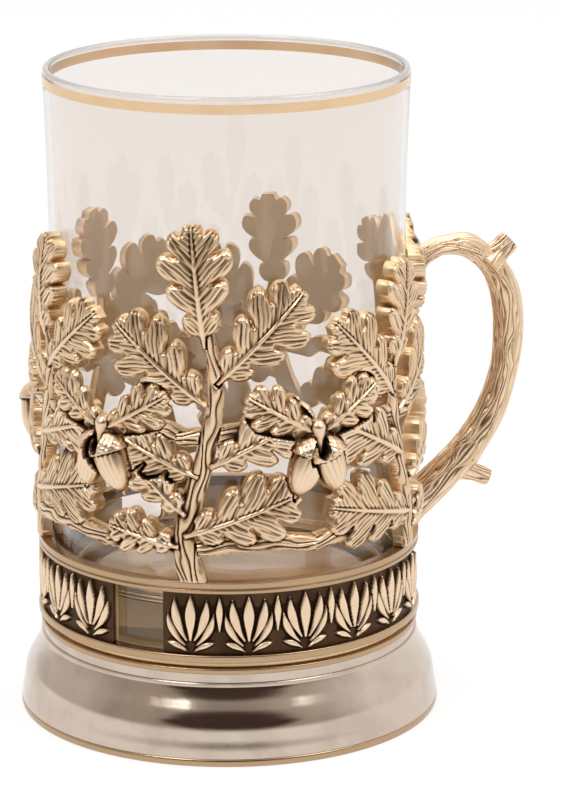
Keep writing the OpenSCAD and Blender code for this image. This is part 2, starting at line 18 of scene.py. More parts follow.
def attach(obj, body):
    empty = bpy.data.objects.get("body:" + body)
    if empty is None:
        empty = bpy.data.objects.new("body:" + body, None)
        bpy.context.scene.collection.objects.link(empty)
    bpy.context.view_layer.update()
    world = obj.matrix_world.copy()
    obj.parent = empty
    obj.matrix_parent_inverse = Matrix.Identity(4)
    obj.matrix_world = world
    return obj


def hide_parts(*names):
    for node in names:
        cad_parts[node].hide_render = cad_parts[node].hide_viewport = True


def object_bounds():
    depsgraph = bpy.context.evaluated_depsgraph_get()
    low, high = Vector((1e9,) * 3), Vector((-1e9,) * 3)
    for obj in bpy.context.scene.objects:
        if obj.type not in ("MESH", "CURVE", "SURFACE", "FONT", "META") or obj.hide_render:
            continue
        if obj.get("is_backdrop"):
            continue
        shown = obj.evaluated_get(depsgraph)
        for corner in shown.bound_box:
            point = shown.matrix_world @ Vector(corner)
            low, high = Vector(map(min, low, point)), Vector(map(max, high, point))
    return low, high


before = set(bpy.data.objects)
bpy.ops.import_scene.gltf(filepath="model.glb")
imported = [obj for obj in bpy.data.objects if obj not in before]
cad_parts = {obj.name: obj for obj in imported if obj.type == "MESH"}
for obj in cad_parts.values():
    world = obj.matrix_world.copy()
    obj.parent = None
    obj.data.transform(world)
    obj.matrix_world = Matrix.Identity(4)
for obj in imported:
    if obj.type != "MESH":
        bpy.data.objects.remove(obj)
cad_low, cad_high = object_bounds()
print("construction:", len(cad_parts), "nodes,", [round(v, 4) for v in cad_high - cad_low], "m")

# %% [markdown]
# Most sizes are measured on the construction, so that a finer piece can't drift from what it
# stands for. Everything here is turned about one upright axis, so the useful measures of a piece
# are how near and how far it is from that axis, and how low and how high it lies.

# %% Measure the construction
MM = 0.001
STEM_T = 2.1 * MM
CROWN_OUT = 3.9 * MM
SEAT_DEPTH = 0.25 * MM


def reach(node):
    """Least and greatest distance from the axis, lowest and highest point of a node."""
    corners = np.array([corner.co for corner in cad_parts[node].data.vertices])
    outward = np.hypot(corners[:, 0], corners[:, 1])
    return outward.min(), outward.max(), corners[:, 2].min(), corners[:, 2].max()


cage_r, lower_rail_r, seat_z, frieze_z = reach("lower_rail")
upper_rail_r, upper_rail_z, rail_top = reach("upper_rail")[1:]
ornament_r = reach("frieze_panel_front")[1]
stem_r = cage_r + STEM_T
crown_r = cage_r + CROWN_OUT
seat_r = stem_r - SEAT_DEPTH
print("cage from", round(cage_r, 4), "to", round(crown_r, 4), "m, rail top at", round(rail_top, 4))

# %% [markdown]
# The camera stands where the photographer's did. A long lens from two thirds of a metre keeps the
# ellipses of the rims nearly parallel. The position came from fitting those ellipses, and is
# written as a distance, a height and a direction, which are easier to read than three coordinates.

# %% Camera
CAMERA_OUT = 673.3 * MM
CAMERA_UP = 241.6 * MM
CAMERA_AT = math.radians(-110)
YAW, PITCH, ROLL = 0.015, 0.265, -0.001
FOCUS_PX, PICTURE_PX, SENSOR_MM = 3686.3, 800, 36


def put(name, data):
    """Adds an object with the given data to the scene."""
    made = bpy.data.objects.new(name, data)
    bpy.context.scene.collection.objects.link(made)
    return made


heading = CAMERA_AT + math.pi - YAW
ahead = Vector((math.cos(heading) * math.cos(PITCH), math.sin(heading) * math.cos(PITCH), -math.sin(PITCH)))
right = Vector((math.sin(heading), -math.cos(heading), 0))
up = right.cross(ahead)
turned_right = right * math.cos(ROLL) + up * math.sin(ROLL)
turned_up = up * math.cos(ROLL) - right * math.sin(ROLL)

lens = bpy.data.cameras.new("camera")
lens.sensor_width = SENSOR_MM
lens.lens = FOCUS_PX / PICTURE_PX * SENSOR_MM
camera = put("camera", lens)
camera.matrix_world = Matrix((turned_right, turned_up, -ahead)).transposed().to_4x4()
camera.location = (math.cos(CAMERA_AT) * CAMERA_OUT, math.sin(CAMERA_AT) * CAMERA_OUT, CAMERA_UP)
bpy.context.scene.camera = camera
bpy.context.scene.view_settings.view_transform = "Standard"
print("camera lens:", round(lens.lens, 1), "mm")

# %% [markdown]
# A material in Blender is a graph of nodes. Written out, every sum takes three lines to make and
# link one node. This small class wraps an output socket, so that `1 - mask * 0.5` reads as
# arithmetic and adds the Math nodes by itself. Any other node comes from one method.

# %% Write shader graphs as arithmetic
# A Mix node has sockets for numbers, vectors and colours. These are the places of the colours.
MIX_COLOURS, MIX_RESULT = (6, 7), 2


class Wire:
    """An output of a shader node that takes part in sums."""

    def __init__(self, tree, socket=None):
        self.tree, self.socket = tree, socket

    def node(self, kind, inputs=(), out=0, **settings):
        """Adds a node: its settings first, then the values or links of its inputs. Gives one output."""
        made = self.tree.nodes.new("ShaderNode" + kind)
        for name, value in settings.items():
            setattr(made, name, value)
        for name, value in dict(inputs).items():
            if isinstance(value, Wire):
                self.tree.links.new(value.socket, made.inputs[name])
            else:
                made.inputs[name].default_value = value
        return Wire(self.tree, made.outputs[out]) if made.outputs else None

    def sum(self, operation, first, second):
        return self.node("Math", {0: first, 1: second}, operation=operation)

    def __add__(self, other):
        return self.sum("ADD", self, other)

    def __sub__(self, other):
        return self.sum("SUBTRACT", self, other)

    def __rsub__(self, other):
        return self.sum("SUBTRACT", other, self)

    def __mul__(self, other):
        return self.sum("MULTIPLY", self, other)

    __radd__, __rmul__ = __add__, __mul__

    def between(self, low, high):
        """0 below low, 1 above high, and a soft step from one to the other."""
        inputs = {"Value": self, "From Min": low, "From Max": high}
        return self.node("MapRange", inputs, interpolation_type="SMOOTHSTEP")

    def pick(self, first, second):
        """The first colour where this is 0, the second where it is 1."""
        inputs = {0: self}
        for place, colour in zip(MIX_COLOURS, (first, second)):
            inputs[place] = colour if isinstance(colour, Wire) else (*colour, 1)
        return self.node("Mix", inputs, out=MIX_RESULT, data_type="RGBA")


def new_material(name):
    """An empty material, and the wire to build it with."""
    made = bpy.data.materials.new(name)
    made["slot"] = name
    made.use_nodes = True
    made.node_tree.nodes.clear()
    return made, Wire(made.node_tree)


def noise(wire, size, detail, stretch=(1, 1, 1)):
    """Cloudy noise with patches of about the given size in metres, stretched along the axes."""
    place = wire.node("TexCoord", out="Object")
    scaled = wire.node("VectorMath", {0: place, 1: stretch}, operation="MULTIPLY")
    return wire.node("TexNoise", {"Vector": scaled, "Scale": 1 / size, "Detail": detail})


print("shader arithmetic ready")

# %% [markdown]
# A product photograph has a plain white ground. Here the floor and the world are pale, and what the
# camera, a reflection or a look through glass sees of the world is plain white. The lamps stay at a
# plain level, so a colour renders about as it is written. For those rays most of the floor's white
# is its own and the rest is lit, which keeps a soft shadow and stays just below the point where
# white clips: a faint tint of glass would vanish in front of a ground that is brighter.
#
# Polished metal looks like metal only when there is something darker to reflect. So reflections see
# the white room fade to grey behind the photographer, and a little on the left, while its ceiling
# stays pale. They see the photographer as a dark oval, which the hollow foot squeezes into a lens.

# %% World and floor
FLOOR_SIDE = 3.0
FLOOR_COLOUR = (0.86, 0.85, 0.84)
FLOOR_LIT = (0.2, 0.2, 0.2)
FLOOR_GLOW = 0.83
WORLD_LIGHT = 0.62
ROOM_GREY = (0.47, 0.42, 0.38)
LEFT_SHARE, CEILING_SHARE = 0.6, 0.75
# Where the grey starts and is full, as cosines of the angle to the photographer, the zenith and the left
BACK_FADE, CEILING_FADE, LEFT_FADE = (-0.1, 0.8), (0.6, 0.9), (0.3, 1)
OVAL_COLOUR = (0.07, 0.045, 0.035)
OVAL_WIDE, OVAL_HIGH, OVAL_UP = 0.6, 0.36, math.radians(20)
# Where the oval's edge softens, and where it ends at the sides of the room
OVAL_EDGE, OVAL_SIDE = (0.9, 1.1), (0, 0.1)


def seen(wire):
    """1 for rays that show the background: from the camera, off metal and through glass."""
    rays = wire.node("LightPath").socket.node.outputs
    camera_ray, glossy, through = (Wire(wire.tree, rays[f"Is {kind} Ray"])
                                   for kind in ("Camera", "Glossy", "Transmission"))
    return (camera_ray + glossy + through).between(0, 1), glossy


world = bpy.data.worlds.new("studio")
bpy.context.scene.world = world
world.use_nodes = True
world.node_tree.nodes.clear()
sky = Wire(world.node_tree)
shown, glossy_ray = seen(sky)
way = sky.node("TexCoord", out="Generated")
front, top = Vector((math.cos(CAMERA_AT), math.sin(CAMERA_AT), 0)), Vector((0, 0, 1))
axes = (front.cross(top) / OVAL_WIDE,
        (top * math.cos(OVAL_UP) - front * math.sin(OVAL_UP)) / OVAL_HIGH, front, top)
across, above, behind, high = (
    sky.node("VectorMath", {0: way, 1: tuple(axis)}, out="Value", operation="DOT_PRODUCT") for axis in axes)
grey = behind.between(*BACK_FADE) * (1 - high.between(*CEILING_FADE) * CEILING_SHARE)
grey = grey + (across * OVAL_WIDE).between(*LEFT_FADE) * LEFT_SHARE
room = (grey * glossy_ray).pick((1, 1, 1), ROOM_GREY)
oval = 1 - (across * across + above * above).between(*OVAL_EDGE)
oval = oval * behind.between(*OVAL_SIDE) * glossy_ray
lit = shown.pick((WORLD_LIGHT,) * 3, oval.pick(room, OVAL_COLOUR))
light = sky.node("Background", {"Color": lit, "Strength": 1.0})
sky.node("OutputWorld", {"Surface": light})

paper, wire = new_material("white_paper")
shown, glossy_ray = seen(wire)
matt = wire.node("BsdfDiffuse", {"Color": shown.pick(FLOOR_COLOUR, FLOOR_LIT)})
glow = wire.node("Emission", {"Color": (1, 1, 1, 1), "Strength": shown * FLOOR_GLOW})
wire.node("OutputMaterial", {"Surface": wire.node("AddShader", {0: matt, 1: glow})})

sheet = bpy.data.meshes.new("floor")
half = FLOOR_SIDE / 2
corners = [(-half, -half, 0), (half, -half, 0), (half, half, 0), (-half, half, 0)]
sheet.from_pydata(corners, [], [(0, 1, 2, 3)])
sheet.materials.append(paper)
floor = put("floor", sheet)
floor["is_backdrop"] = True
print("floor and world made")

# %% [markdown]
# Three square soft lamps light the object: a key from the upper left, a weaker one on the right so
# that the handle's side keeps its shape, and a larger one overhead for the rims. They hang high, so
# that polished metal shows them as soft highlights above the dark reflection in the foot.

# %% Lamps
# Where each lamp hangs and the length of its side, in metres, and its watts
LAMPS = {
    "key": ((-0.69, -0.4, 1.0), 0.45, 3.8),
    "fill": ((0.46, -0.55, 0.86), 0.45, 2.4),
    "top": ((0.1, 0.25, 0.95), 0.7, 2.0),
}
LOOK_AT = Vector((0, 0, (cad_low.z + cad_high.z) / 2))

for name, (place, side, watts) in LAMPS.items():
    lamp = bpy.data.lights.new(name, "AREA")
    lamp.shape, lamp.size, lamp.energy = "SQUARE", side, watts
    stand = put(name, lamp)
    stand.location = place
    stand.rotation_euler = (LOOK_AT - Vector(place)).to_track_quat("-Z", "Y").to_euler()
print("lamps:", ", ".join(LAMPS))

# %% [markdown]
# Two facts about metal make most of its look here. A cast brass face is pale where hands and the
# polishing wheel reach it, and dark brown where the oxide stays in the hollows. Both marks also
# paint light: the paleness of proud parts is a painted highlight, and the darkness of hollows and of
# places under an overlapping form is painted shade as well as oxide. So the mesh code stores three
# numbers at every corner, how deep it lies in a hollow, how far it sticks out and whether it is on
# the inside, which is only brushed and is painted paler to stand for light that barely reaches it
# through the glass. The materials read them as attributes. Fine scratches and a slight unevenness
# come from noise.

# %% Metal finishes
BRASS = (0.76, 0.535, 0.325)
BRASS_RING = (0.48, 0.33, 0.2)
# Rubbed brass, which on every proud part is also a painted highlight
BRASS_RUBBED_HIGHLIGHT = (0.88, 0.67, 0.47)
BRASS_DULL = (0.53, 0.35, 0.195)
# Paler than the brass is, to paint light that barely reaches the inside through the glass
BRASS_INSIDE_LIT = (0.92, 0.7, 0.42)
# Brown and near-black stand for oxide in the hollows and also paint the shade that falls there
BROWN = (0.15, 0.085, 0.045)
OXIDE_AND_SHADE = (0.03, 0.016, 0.009)
NICKEL = (0.62, 0.515, 0.43)
NICKEL_DULL = (0.48, 0.39, 0.315)
GOLD = (0.8, 0.58, 0.36)
GOLD_DULL = (0.76, 0.5, 0.28)
# Size of the dull patches and of the scratches, and how the patches fade in
CLOUD, SCRATCH = 7 * MM, 0.35 * MM
DULL_FADE, DULL_SHARE = (0.42, 0.68), 0.5
# How much rougher patches, scratches, the darkened hollows and the unpolished inside are
CLOUD_ROUGH, SCRATCH_ROUGH, DIRT_ROUGH, INSIDE_ROUGH = 0.1, 0.12, 0.25, 0.25
# From where to where rubbed metal with its painted highlight, brown and black oxide with their
# painted shade, and the inside painted paler take over
RUBBED_HIGHLIGHT_FADE, BROWN_FADE, OXIDE_AND_SHADE_FADE, INSIDE_FADE = (0.1, 0.9), (0.08, 0.5), (0.45, 0.95), (0.3, 0.9)
# How much the patches thicken and thin the oxide and painted shade of a hollow
PATCHY, PATCHY_FADE = 0.35, (0.02, 0.3)
SATIN_BUMP, BUMP_STRENGTH = 0.02 * MM, 0.6


def metal(name, base, dull, roughness, scratch_along=(1, 1, 12), oxide=False, satin=1.0):
    """A metal dull in patches and finely scratched, with oxide and painted shade in its hollows, rubbed proud
    parts painted as highlights, and a paler painted inside if asked.
    """
    made, wire = new_material(name)
    cloud = noise(wire, CLOUD, 4)
    scratches = noise(wire, SCRATCH, 2, scratch_along)
    colour = (cloud.between(*DULL_FADE) * DULL_SHARE).pick(base, dull)
    rough = cloud * CLOUD_ROUGH + scratches * SCRATCH_ROUGH * satin + roughness
    if oxide:
        hollow, proud, inner = (wire.node("Attribute", out="Fac", attribute_name=label)
                                for label in ("recess", "rub", "inner"))
        # Oxide and painted shade of the hollows, thicker or thinner in patches
        dirt_and_shade = hollow + (cloud - 0.5) * PATCHY * hollow.between(*PATCHY_FADE)
        # Proud parts become rubbed brass, which also paints a highlight on them
        colour = proud.between(*RUBBED_HIGHLIGHT_FADE).pick(colour, BRASS_RUBBED_HIGHLIGHT)
        colour = dirt_and_shade.between(*BROWN_FADE).pick(colour, BROWN)
        colour = dirt_and_shade.between(*OXIDE_AND_SHADE_FADE).pick(colour, OXIDE_AND_SHADE)
        # The inside is painted paler, for light that barely reaches it through the glass
        colour = inner.between(*INSIDE_FADE).pick(colour, BRASS_INSIDE_LIT)
        rough = rough + dirt_and_shade * DIRT_ROUGH + inner * INSIDE_ROUGH
    bumps = wire.node("Bump", {
        "Height": scratches, "Distance": SATIN_BUMP * satin, "Strength": BUMP_STRENGTH})
    shader = wire.node("BsdfPrincipled", {
        "Base Color": colour, "Roughness": rough, "Metallic": 1.0, "Normal": bumps})
    wire.node("OutputMaterial", {"Surface": shader})
    return made


antique_brass = metal("antique_brass", BRASS, BRASS_DULL, roughness=0.2, scratch_along=(1, 1, 5), oxide=True)
polished_brass = metal("polished_brass", BRASS_RING, BRASS_DULL, roughness=0.12, scratch_along=(3, 3, 14),
                       satin=0.6)
# The floor plate takes the inside colour, painted paler for the light that barely reaches it
aged_brass = metal("aged_brass", BRASS_INSIDE_LIT, BRASS, roughness=0.4)
nickel = metal("nickel", NICKEL, NICKEL_DULL, roughness=0.03, scratch_along=(2, 2, 14), satin=0.35)
gilding = metal("gilding", GOLD, GOLD_DULL, roughness=0.12, satin=0.3)
print("metals:", antique_brass.name, polished_brass.name, aged_brass.name, nickel.name, gilding.name)

# %% [markdown]
# Glass is nothing but its surface: light bends at each wall. The material is therefore plain, smooth
# and clear with a light tint, with the faintest waviness of blown glass in its normals, and the thick
# base, round heel and bead of the rim are real geometry that do the rest. Two things help the renderer.
# The lamps shine straight through the glass, so that the brass behind it is lit, and the bead at the
# rim, which in a real glass gathers light from all round, has a share of pale matt colour that
# paints that light.

# %% Glass
GLASS_TINT = (0.9, 0.857, 0.823)
GLASS_IOR = 1.48
GLASS_GLOSS = 0.25
WAVE_SIZE, WAVE_STRETCH = 16 * MM, (1, 1, 0.4)
WAVE_DEEP, WAVE_STRENGTH = 0.06 * MM, 0.35
BEAD_H, BEAD_FADE = 1.1 * MM, 0.3 * MM
# Pale colour painted on the rim's bead for the light it gathers from all round
BEAD_PAINTED_LIGHT = (0.9, 0.85, 0.81)
BEAD_SHARE, BEAD_ROUGH = 0.5, 0.1

clear_glass, wire = new_material("clear_glass")
waves = noise(wire, WAVE_SIZE, 1, WAVE_STRETCH)
ripple = wire.node("Bump", {"Height": waves, "Distance": WAVE_DEEP, "Strength": WAVE_STRENGTH})
shader = wire.node("BsdfPrincipled", {
    "Base Color": (*GLASS_TINT, 1), "Roughness": 0.0, "IOR": GLASS_IOR,
    "Transmission Weight": 1.0, "Specular IOR Level": GLASS_GLOSS, "Normal": ripple})
level = wire.node("SeparateXYZ", {0: wire.node("TexCoord", out="Object")}, out="Z")
bead_low = reach("tumbler")[3] - BEAD_H
# A pale matt share on the bead paints the light a clear bead gathers
bead_painted_light = wire.node("BsdfPrincipled", {"Base Color": (*BEAD_PAINTED_LIGHT, 1), "Roughness": BEAD_ROUGH})
in_bead = level.between(bead_low, bead_low + BEAD_FADE)
shader = wire.node("MixShader", {0: in_bead * BEAD_SHARE, 1: shader, 2: bead_painted_light})
passed = wire.node("BsdfTransparent", {"Color": (1, 1, 1, 1)})
shader = wire.node("MixShader", {0: wire.node("LightPath", out="Is Shadow Ray"), 1: shader, 2: passed})
wire.node("OutputMaterial", {"Surface": shader})
print("glass made")

# %% [markdown]
# Every finished piece needs the same four things: its material, the body that carries it, the slot
# of the record that names its finish, and the plain solid that it stands for.

# %% Finish a piece
def finish(piece, material, node, body="holder"):
    """Gives a piece its material and body, and lets it stand for a node of the construction."""
    piece.data.materials.append(material)
    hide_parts(node)
    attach(piece, body)
    print(piece.name, "-", len(piece.data.polygons), "faces on", body)


def solid(name, corners, faces, sharp=40, **values):
    """A smooth mesh with sharp edges above an angle, and a number at each corner for each value."""
    mesh = bpy.data.meshes.new(name)
    mesh.from_pydata(corners, [], faces)
    for label, numbers in values.items():
        mesh.attributes.new(label, "FLOAT", "POINT").data.foreach_set("value", np.float32(numbers))
    mesh.shade_smooth()
    mesh.set_sharp_from_angle(angle=math.radians(sharp))
    return put(name, mesh)


print("pieces to finish:", len(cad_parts))

# %% [markdown]
# Rings, foot and glass are turned pieces. One outline, drawn as points of radius and height, is
# carried round the axis. A real edge is never quite sharp, so each corner of an outline is first
# replaced by a small curve, which is what catches the thin bright line along a rim.

# %% Turned pieces
TURN_STEPS = 192
ON_AXIS = 1e-7
# How much of a side a rounded corner may take
CORNER_SHARE = 0.45


def bar(inner, outer, low, high):
    """The outline of a ring of plain bar."""
    return [(inner, low), (outer, low), (outer, high), (inner, high)]


def rounded(outline, size, steps=4):
    """A closed outline whose corners are small curves, no larger than its sides allow."""
    made = []
    for i, corner in enumerate(outline):
        corner = np.array(corner, float)
        into = np.array(outline[i - 1]) - corner
        away = np.array(outline[(i + 1) % len(outline)]) - corner
        long_in, long_out = np.linalg.norm(into), np.linalg.norm(away)
        start = corner + into / long_in * min(size, CORNER_SHARE * long_in)
        end = corner + away / long_out * min(size, CORNER_SHARE * long_out)
        for t in np.linspace(0, 1, steps):
            made.append((1 - t) ** 2 * start + 2 * t * (1 - t) * corner + t ** 2 * end)
    return made


def arc(middle, radius, start, end, steps=10):
    """Points on an arc, by its angles in degrees."""
    turns = np.radians(np.linspace(start, end, steps + 1))
    return [(middle[0] + radius * math.cos(a), middle[1] + radius * math.sin(a)) for a in turns]


def smooth(points, steps):
    """A curve through all the points, with the given steps between each two."""
    p = np.array(points, float)
    rows = []
    for i in range(len(p) - 1):
        a, b, c, d = p[max(i - 1, 0)], p[i], p[i + 1], p[min(i + 2, len(p) - 1)]
        for t in np.arange(steps) / steps:
            rows.append((2 * b + (c - a) * t + (2 * a - 5 * b + 4 * c - d) * t ** 2
                         + (3 * b - a - 3 * c + d) * t ** 3) / 2)
    return np.array(rows + [p[-1]])


def turn(name, outline, closed=True, sharp=40):
    """Carries an outline round the axis. An open outline starts and ends on the axis."""
    angles = np.linspace(0, 2 * math.pi, TURN_STEPS, endpoint=False)
    corners, rows = [], []
    for radius, level in outline:
        count = 1 if radius < ON_AXIS else TURN_STEPS
        rows.append([len(corners) + i % count for i in range(TURN_STEPS)])
        corners += [(radius * math.cos(a), radius * math.sin(a), level) for a in angles[:count]]
    faces = []
    for low, high in zip(rows, rows[1:] + rows[:1] if closed else rows[1:]):
        for i in range(TURN_STEPS):
            j = (i + 1) % TURN_STEPS
            faces.append(list(dict.fromkeys((low[i], low[j], high[j], high[i]))))
    piece = solid(name, corners, faces, sharp)
    shape = bmesh.new()
    shape.from_mesh(piece.data)
    bmesh.ops.recalc_face_normals(shape, faces=shape.faces)
    shape.to_mesh(piece.data)
    shape.free()
    return piece


print("turning ready,", TURN_STEPS, "steps round")

# %% [markdown]
# The foot is spun from sheet over a form, then plated. Its outline runs from a hollow neck into a
# full roll. It is given as shares of the foot's spread and height, so it follows the construction.

# %% Foot
EDGE = 0.3 * MM
SHELL_WALL = 1.1 * MM
NECK_H = 1.7 * MM
NECK_BEAD_H = 0.5 * MM
FLARE_SHARES = [
    (1, 0), (0.955, 0.12), (0.88, 0.26), (0.83, 0.4), (0.76, 0.5), (0.66, 0.58),
    (0.54, 0.66), (0.4, 0.74), (0.26, 0.82), (0.14, 0.9), (0.06, 0.96), (0.04, 1)]

shell_r, shell_z, shell_top = reach("foot_shell")[1:]
collar_r, collar_top = reach("collar_ring")[1], reach("collar_ring")[3]
neck_r = reach("foot_shell")[0] + SHELL_WALL
flare_h = shell_top - shell_z - NECK_H - NECK_BEAD_H
flare = [(neck_r + (shell_r - neck_r) * x, shell_z + flare_h * y)
         for x, y in smooth(FLARE_SHARES, steps=5)]
bead = arc((flare[-1][0], shell_z + flare_h + NECK_BEAD_H / 2), NECK_BEAD_H / 2, -90, 90, steps=8)
outer = flare + bead + [(neck_r, shell_z + flare_h + NECK_BEAD_H), (neck_r, shell_top)]
inner = [(x - SHELL_WALL, z) for x, z in reversed(outer)]
finish(turn("spun_foot", outer + inner, sharp=30), nickel, "foot_shell")

finish(turn("foot_ring", rounded(bar(*reach("foot_rim")), 2 * EDGE, steps=6)), polished_brass, "foot_rim")

# %% [markdown]
# The collar and the two rails are turned from brass rod and polished. The upper rail has a thin
# line cut into it. The floor disc between collar and lower rail shows only as a dark edge. All are
# short outlines for the function that turned the foot, and a groove costs only two more points.

# %% Rings of the band
RAIL_LINE = 0.3 * MM

collar = bar(cage_r, collar_r, shell_top, collar_top)
finish(turn("collar", rounded(collar, EDGE)), polished_brass, "collar_ring")

floor_edge, floor_low, floor_high = reach("floor_disc")[1:]
disc = [(0, floor_low), (floor_edge - EDGE, floor_low), (floor_edge, floor_low + EDGE),
        (floor_edge, floor_high - EDGE), (floor_edge - EDGE, floor_high), (0, floor_high)]
finish(turn("floor_plate", disc, closed=False), aged_brass, "floor_disc")

low_rail = bar(cage_r, lower_rail_r, seat_z, frieze_z)
finish(turn("low_rail", rounded(low_rail, EDGE)), polished_brass, "lower_rail")

line_z = upper_rail_z + (rail_top - upper_rail_z) / 3
bottom_bead = [(cage_r, upper_rail_z), (upper_rail_r, upper_rail_z), (upper_rail_r, line_z)]
groove = [(upper_rail_r - RAIL_LINE, line_z), (upper_rail_r - RAIL_LINE, line_z + RAIL_LINE)]
top_band = [(upper_rail_r, line_z + RAIL_LINE), (upper_rail_r, rail_top), (cage_r, rail_top)]
finish(turn("top_rail", rounded(bottom_bead + groove + top_band, EDGE / 2)),
       polished_brass, "upper_rail")

# %% [markdown]
# The glass is drawn as one closed outline, inside and outside, so that light meets every wall. Its
# base is thick, its heel is round, and the wall opens a little towards a rim that ends in a bead.
# The gold band is a thin ring sunk a hair into the outer face, as fired gold is.

# %% Glass and gold band
GLASS_WALL = 1.2 * MM
GLASS_BASE = 8.6 * MM
HEEL_ROUND = 2.6 * MM
HEEL_RING = 4 * MM
PUNT = 0.8 * MM
FLOOR_ROUND = 5 * MM
RIM_FLARE = 0.7 * MM
FLARE_START = 0.62
GOLD_SUNK = 0.02 * MM

glass_rim, stand_z, glass_top = reach("tumbler")[1:]
gold_r, gold_low, gold_high = reach("gilt_band")[1:]
body_r = glass_rim - RIM_FLARE
flare_z = stand_z + (glass_top - stand_z) * FLARE_START
wall = [(body_r + RIM_FLARE * t ** 2, flare_z + (gold_low - GLASS_WALL - flare_z) * t)
        for t in np.linspace(0, 1, 13)]
heel = arc((body_r - HEEL_ROUND, stand_z + HEEL_ROUND), HEEL_ROUND, -90, 0)
ring_in = body_r - HEEL_ROUND - HEEL_RING
foot_in = [(0, stand_z + PUNT), (ring_in - PUNT, stand_z + PUNT), (ring_in, stand_z)]
lip = arc((glass_rim - GLASS_WALL / 2, glass_top - GLASS_WALL / 2), GLASS_WALL / 2, 0, 180, steps=16)
inner_wall = [(r - GLASS_WALL, z) for r, z in reversed(wall)]
corner = (body_r - GLASS_WALL - FLOOR_ROUND, stand_z + GLASS_BASE + FLOOR_ROUND)
inside = arc(corner, FLOOR_ROUND, 0, -90) + [(0, stand_z + GLASS_BASE)]
outline = foot_in + heel + wall + lip + inner_wall + inside
finish(turn("tea_glass", outline, closed=False), clear_glass, "tumbler", "glass")

band = bar(glass_rim - GOLD_SUNK, gold_r, gold_low, gold_high)
finish(turn("gold_band", band), gilding, "gilt_band", "glass")

# %% [markdown]
# The cage is cast relief: low forms that stand on a curved wall, with open gaps between them. Such
# a casting can be described by two numbers at each place of the wall, how far the place lies inside
# the metal's outline, and how far out its face is. A grid of those numbers is easy to work on: laying
# a leaf over a branch is one line, and a blurred copy of the face shows which places lie in a hollow.

# %% A patch of the wall as a grid
# How much an open gap counts as low ground, which makes the edges beside it proud
OPEN_WEIGHT = 0.3
# Width of the strip beside a gap that hands and polishing keep free of oxide, where no shade is painted
# either
CLEAN_EDGE = 0.5 * MM
# Widths over which hollows are sought, and the depth that counts as full
HOLLOWS = [(0.3 * MM, 0.13 * MM), (0.8 * MM, 0.32 * MM), (2.0 * MM, 0.75 * MM)]


def blurred(values, size, pitch):
    """A grid blurred over a distance."""
    waves = [np.fft.fftfreq(count, pitch) for count in values.shape]
    keep = np.exp(-2 * (math.pi * size) ** 2 * (waves[0][:, None] ** 2 + waves[1] ** 2))
    return np.real(np.fft.ifft2(np.fft.fft2(values) * keep))


class Wall:
    """A patch of the wall: u runs along it to the right and z up, both in metres."""

    def __init__(self, half, low, high, pitch, radius):
        margin = 3 * pitch
        self.pitch, self.radius = pitch, radius
        along = np.arange(-half - margin, half + margin, pitch)
        above = np.arange(low - margin, high + margin, pitch)
        self.u, self.z = np.meshgrid(along, above, indexing="ij")
        self.inside = np.full(self.u.shape, -1.0)
        self.face = np.full(self.u.shape, radius)
        self.stain = np.zeros(self.u.shape)

    def lay(self, inside, face):
        """Lays a form over what is there."""
        self.face = np.where(inside > 0, face, self.face)
        self.inside = np.maximum(self.inside, inside)

    def hollows(self):
        """How deep each place lies in a hollow and how proud it stands, both from 0 to 1."""
        weight = np.where(self.inside > 0, 1, OPEN_WEIGHT)
        level = np.where(self.inside > 0, self.face, self.radius)
        deep, proud = np.zeros(self.u.shape), 0
        for size, depth in HOLLOWS:
            around = blurred(weight * level, size, self.pitch)
            lower = around / blurred(weight, size, self.pitch) - self.face
            deep = np.maximum(deep, np.clip(lower / depth, 0, 1))
            proud = proud + np.clip(-lower / depth, 0, 1) / 2
        deep *= np.clip(self.inside / CLEAN_EDGE, 0, 1)
        return np.maximum(deep, self.stain), np.clip(proud, 0, 1)


print("hollows are sought over", len(HOLLOWS), "widths")

# %% [markdown]
# A grid has square steps, and a casting has a smooth outline. So a cell that the outline crosses is
# cut where the inside distance is zero, which is the marching squares method. The cuts are unevenly
# spaced, so they are evened out along the outline. The face, a plain back and the walls between them
# then make one closed mesh.

# %% From grid to closed mesh
# The corners that are inside, and the polygons of corners c and crossed edges e they leave
CELLS = {
    1: ["c0 e0 e3"], 2: ["c1 e1 e0"], 4: ["c2 e2 e1"], 8: ["c3 e3 e2"],
    3: ["c0 c1 e1 e3"], 6: ["c1 c2 e2 e0"], 12: ["c2 c3 e3 e1"], 9: ["c3 c0 e0 e2"],
    7: ["c0 c1 c2 e2 e3"], 14: ["c1 c2 c3 e3 e0"], 13: ["c2 c3 c0 e0 e1"], 11: ["c3 c0 c1 e1 e2"],
    5: ["c0 e0 e3", "c2 e2 e1"], 10: ["c1 e1 e0", "c3 e3 e2"], 15: ["c0 c1 c2 c3"]}
NEAREST_CUT = 0.15
EDGE_PASSES = 4
LEAST_T = 0.2 * MM


def evened(values, pairs):
    """Values of all corners, after those on an outline are drawn towards their two neighbours."""
    count = np.bincount(pairs[:, 0], minlength=len(values))
    edge = count > 0
    for _ in range(EDGE_PASSES):
        total = np.zeros_like(values)
        np.add.at(total, pairs[:, 0], values[pairs[:, 1]])
        values[edge] += (total[edge] / count[edge, None] - values[edge]) / 2
    return values


def crossed(first, second, inside_first, inside_second):
    """Where the outline crosses from one row of grid places to the next, with the inner one's values."""
    t = np.clip(inside_first / (inside_first - inside_second), NEAREST_CUT, 1 - NEAREST_CUT)
    made = np.where((inside_first > 0)[:, None], first, second)
    made[:, :2] = first[:, :2] + (second[:, :2] - first[:, :2]) * t[:, None]
    return made


